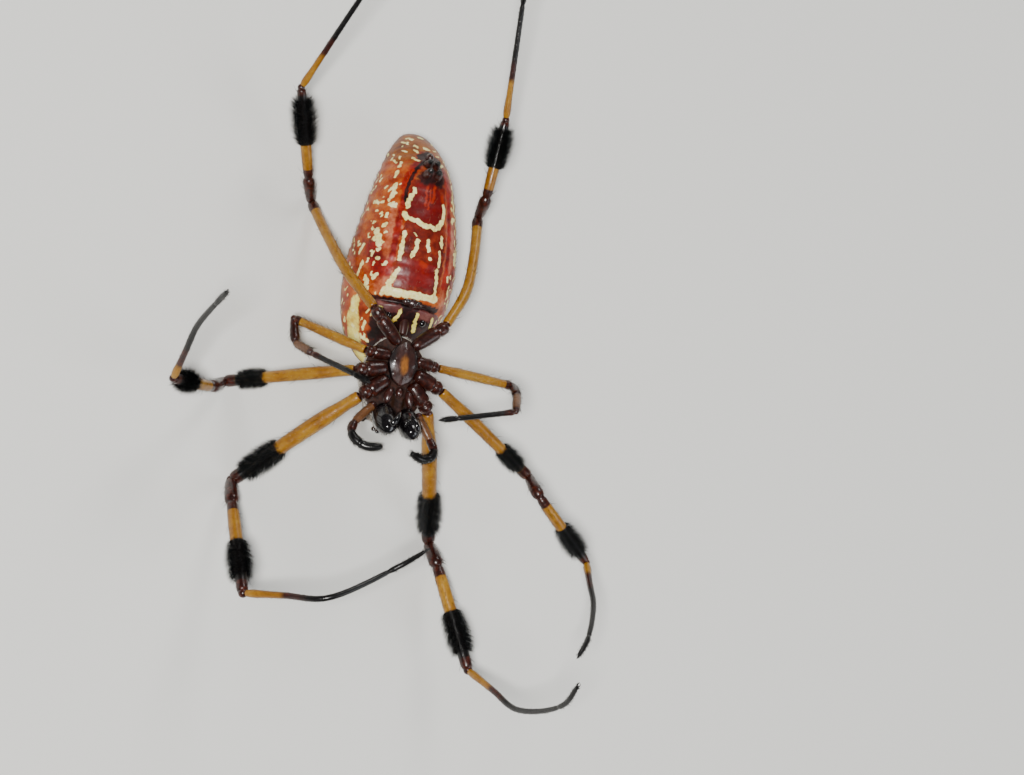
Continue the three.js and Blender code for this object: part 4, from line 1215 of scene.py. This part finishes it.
def seatEyes(plan):
    # first the shared swellings, then each eye's own rim, so that every eye stands half out
    plan["seats"] = []
    dense = ballPoints(200, 260)

    def seat(middle, way, width, sink):
        points = carapacePoints(plan, dense)
        gap = points - middle
        depth = gap @ way
        distance = np.linalg.norm(gap - depth[:, None] * way, axis=1)
        near = (distance < 0.16) & (depth > -2.6)
        push = -depth[near].max() - sink
        plan["seats"].append((middle, way, push, width))

    seat(np.array([0, -5.6, -2.85]), unit([0, -0.93, -0.36]), 0.85, 0.05)
    for side in (-1, 1):
        seat(np.array([side * 2.2, -4.8, -2.55]), unit([side * 0.5, -0.85, -0.1]), 0.75, 0.1)
    for _, _, middle in eyeMiddles(plan):
        way = unit(middle - (0.45 * middle[0], -3.4, -2.4))
        seat(middle, way, 0.33, 0.0)


seatEyes(carapacePlan)


def makeCarapace(plan):
    rows, columns = 170, 220
    ball = ballPoints(rows, columns)
    points = carapacePoints(plan, ball)
    points = points + 0.02 * softNoise(points, 0.9, 21)[:, None] * unit(ball)
    eyeGap = np.min([np.linalg.norm(points - middle, axis=1) for _, _, middle in eyeMiddles(plan)], 0)
    hornGap = np.minimum(*(np.hypot(points[:, 0] - hx, points[:, 1] - hy) for hx, hy in plan["horns"]))
    marks = {"dark": np.maximum(1 - smoothStep(eyeGap, 0.3, 0.48), 0.8 * (1 - smoothStep(hornGap, 0.15, 0.4))),
             "rim": smoothStep(points[:, 2], -1.75, -1.2)}
    book = NodeBook("carapaceSkin")
    grain, broad = book.noise(2600, 4), book.noise(620, 4)
    colour = book.ramp(broad * 0.5 + grain * 0.5, [(0.3, 34, 22, 16), (0.5, 74, 58, 46), (0.75, 132, 120, 106)])
    rimColour = book.ramp(grain, [(0.3, 22, 9, 6), (0.7, 60, 28, 16)])
    colour = book.mix(book.mask("rim").between(0.2, 0.8), colour, rimColour)
    colour = book.mix((book.mask("dark") + (grain - 0.5) * 0.3).between(0.3, 0.6), colour, tint(12, 9, 9))
    normal = book.bump(grain + broad * 0.5, 0.5, 0.00006)
    skin = book.finish(colour, 0.42 + grain * 0.2, normal, Coat_Weight=0.25)
    faces = [list(reversed(f)) for f in ringFaces(rows, columns)]
    addPiece("carapaceSkin", aboveFloor(points, 0.0), faces, skin, "carapace", ("carapace",), marks)

    # silvery down lying to the rear, thin round the eyes
    count = plan["hairs"]
    u, v = rng.uniform(-1, 0.05, count), rng.uniform(0, 2 * np.pi, count)
    ring = np.sqrt(1 - u ** 2)
    seed = np.stack([ring * np.cos(v), ring * np.sin(v), u], -1)
    roots = carapacePoints(plan, seed)
    near = carapacePoints(plan, unit(seed + 0.02 * unit(np.cross(seed, [0, 0, 1.0]))))
    other = carapacePoints(plan, unit(seed + 0.02 * unit(np.cross(seed, np.cross(seed, [0, 0, 1.0])))))
    outs = unit(np.cross(near - roots, other - roots))
    outs *= np.sign((outs * (roots - (0, -1.0, -1.5))).sum(1, keepdims=True))
    gap = np.min([np.linalg.norm(roots - middle, axis=1) for _, _, middle in eyeMiddles(plan)], 0)
    keep = (gap > 0.42) & (rng.uniform(0, 1, count) < 0.9 - 0.55 * np.exp(-((np.abs(roots[:, 0]) - 1.5) / 0.4) ** 2))
    roots, outs, u, v = roots[keep], outs[keep], u[keep], v[keep]
    rearward = np.array([0, 1.0, 0.15]) + 0.35 * np.stack([np.sign(roots[:, 0]), 0 * u, 0 * u], -1)
    alongs = unit(rearward - outs * (rearward * outs).sum(1, keepdims=True))
    size = rng.uniform(0.25, 0.5, len(u))
    thick = rng.uniform(0.022, 0.036, len(u))
    hairs = hairMesh(roots - outs * 0.02, outs, alongs, size, thick, math.radians(16), 0.1, 2)
    hair = NodeBook("carapaceDown")
    tone = hair.mask("tone").between(0.0, 1.0)
    downColour = hair.mix(tone, tint(150, 142, 128), tint(222, 220, 212))
    down = hair.finish(downColour, 0.36 + tone * 0.1, None, Specular_IOR_Level=0.6)
    addCoat("carapaceCoat", [(*hairs, (u + 1) / 1.1, v / (2 * np.pi), rng.uniform(0, 1, len(u)))], down, "carapace")


def makeEyes(plan):
    book = NodeBook("eyeGloss")
    depth = book.mask("dark")
    grain = book.noise(5000, 2)
    colour = book.mix(depth, tint(46, 18, 10), tint(6, 5, 7))
    eyeSkin = book.finish(colour, 0.05 + grain * 0.03, None,
                          Coat_Weight=1.0, Coat_Roughness=0.03, Specular_IOR_Level=0.8)
    for name, word, middle in eyeMiddles(plan):
        points, faces, marks = ballMesh(middle, (plan["eyeRadius"],) * 3, 48, 32)
        facing = ((points - middle) * unit(middle - (0, -2.5, -2.6))).sum(1) / plan["eyeRadius"]
        marks["dark"] = 0.25 + 0.75 * smoothStep(facing, 0.1, 0.6)
        node = "eye_" + name.lower().replace(" ", "_") + "_" + word.lower()
        addPiece("eye" + name.replace(" ", "") + word, points, faces, eyeSkin, "eye", (node,), marks)


makeCarapace(carapacePlan)
makeEyes(carapacePlan)
print("carapace and eyes ready")
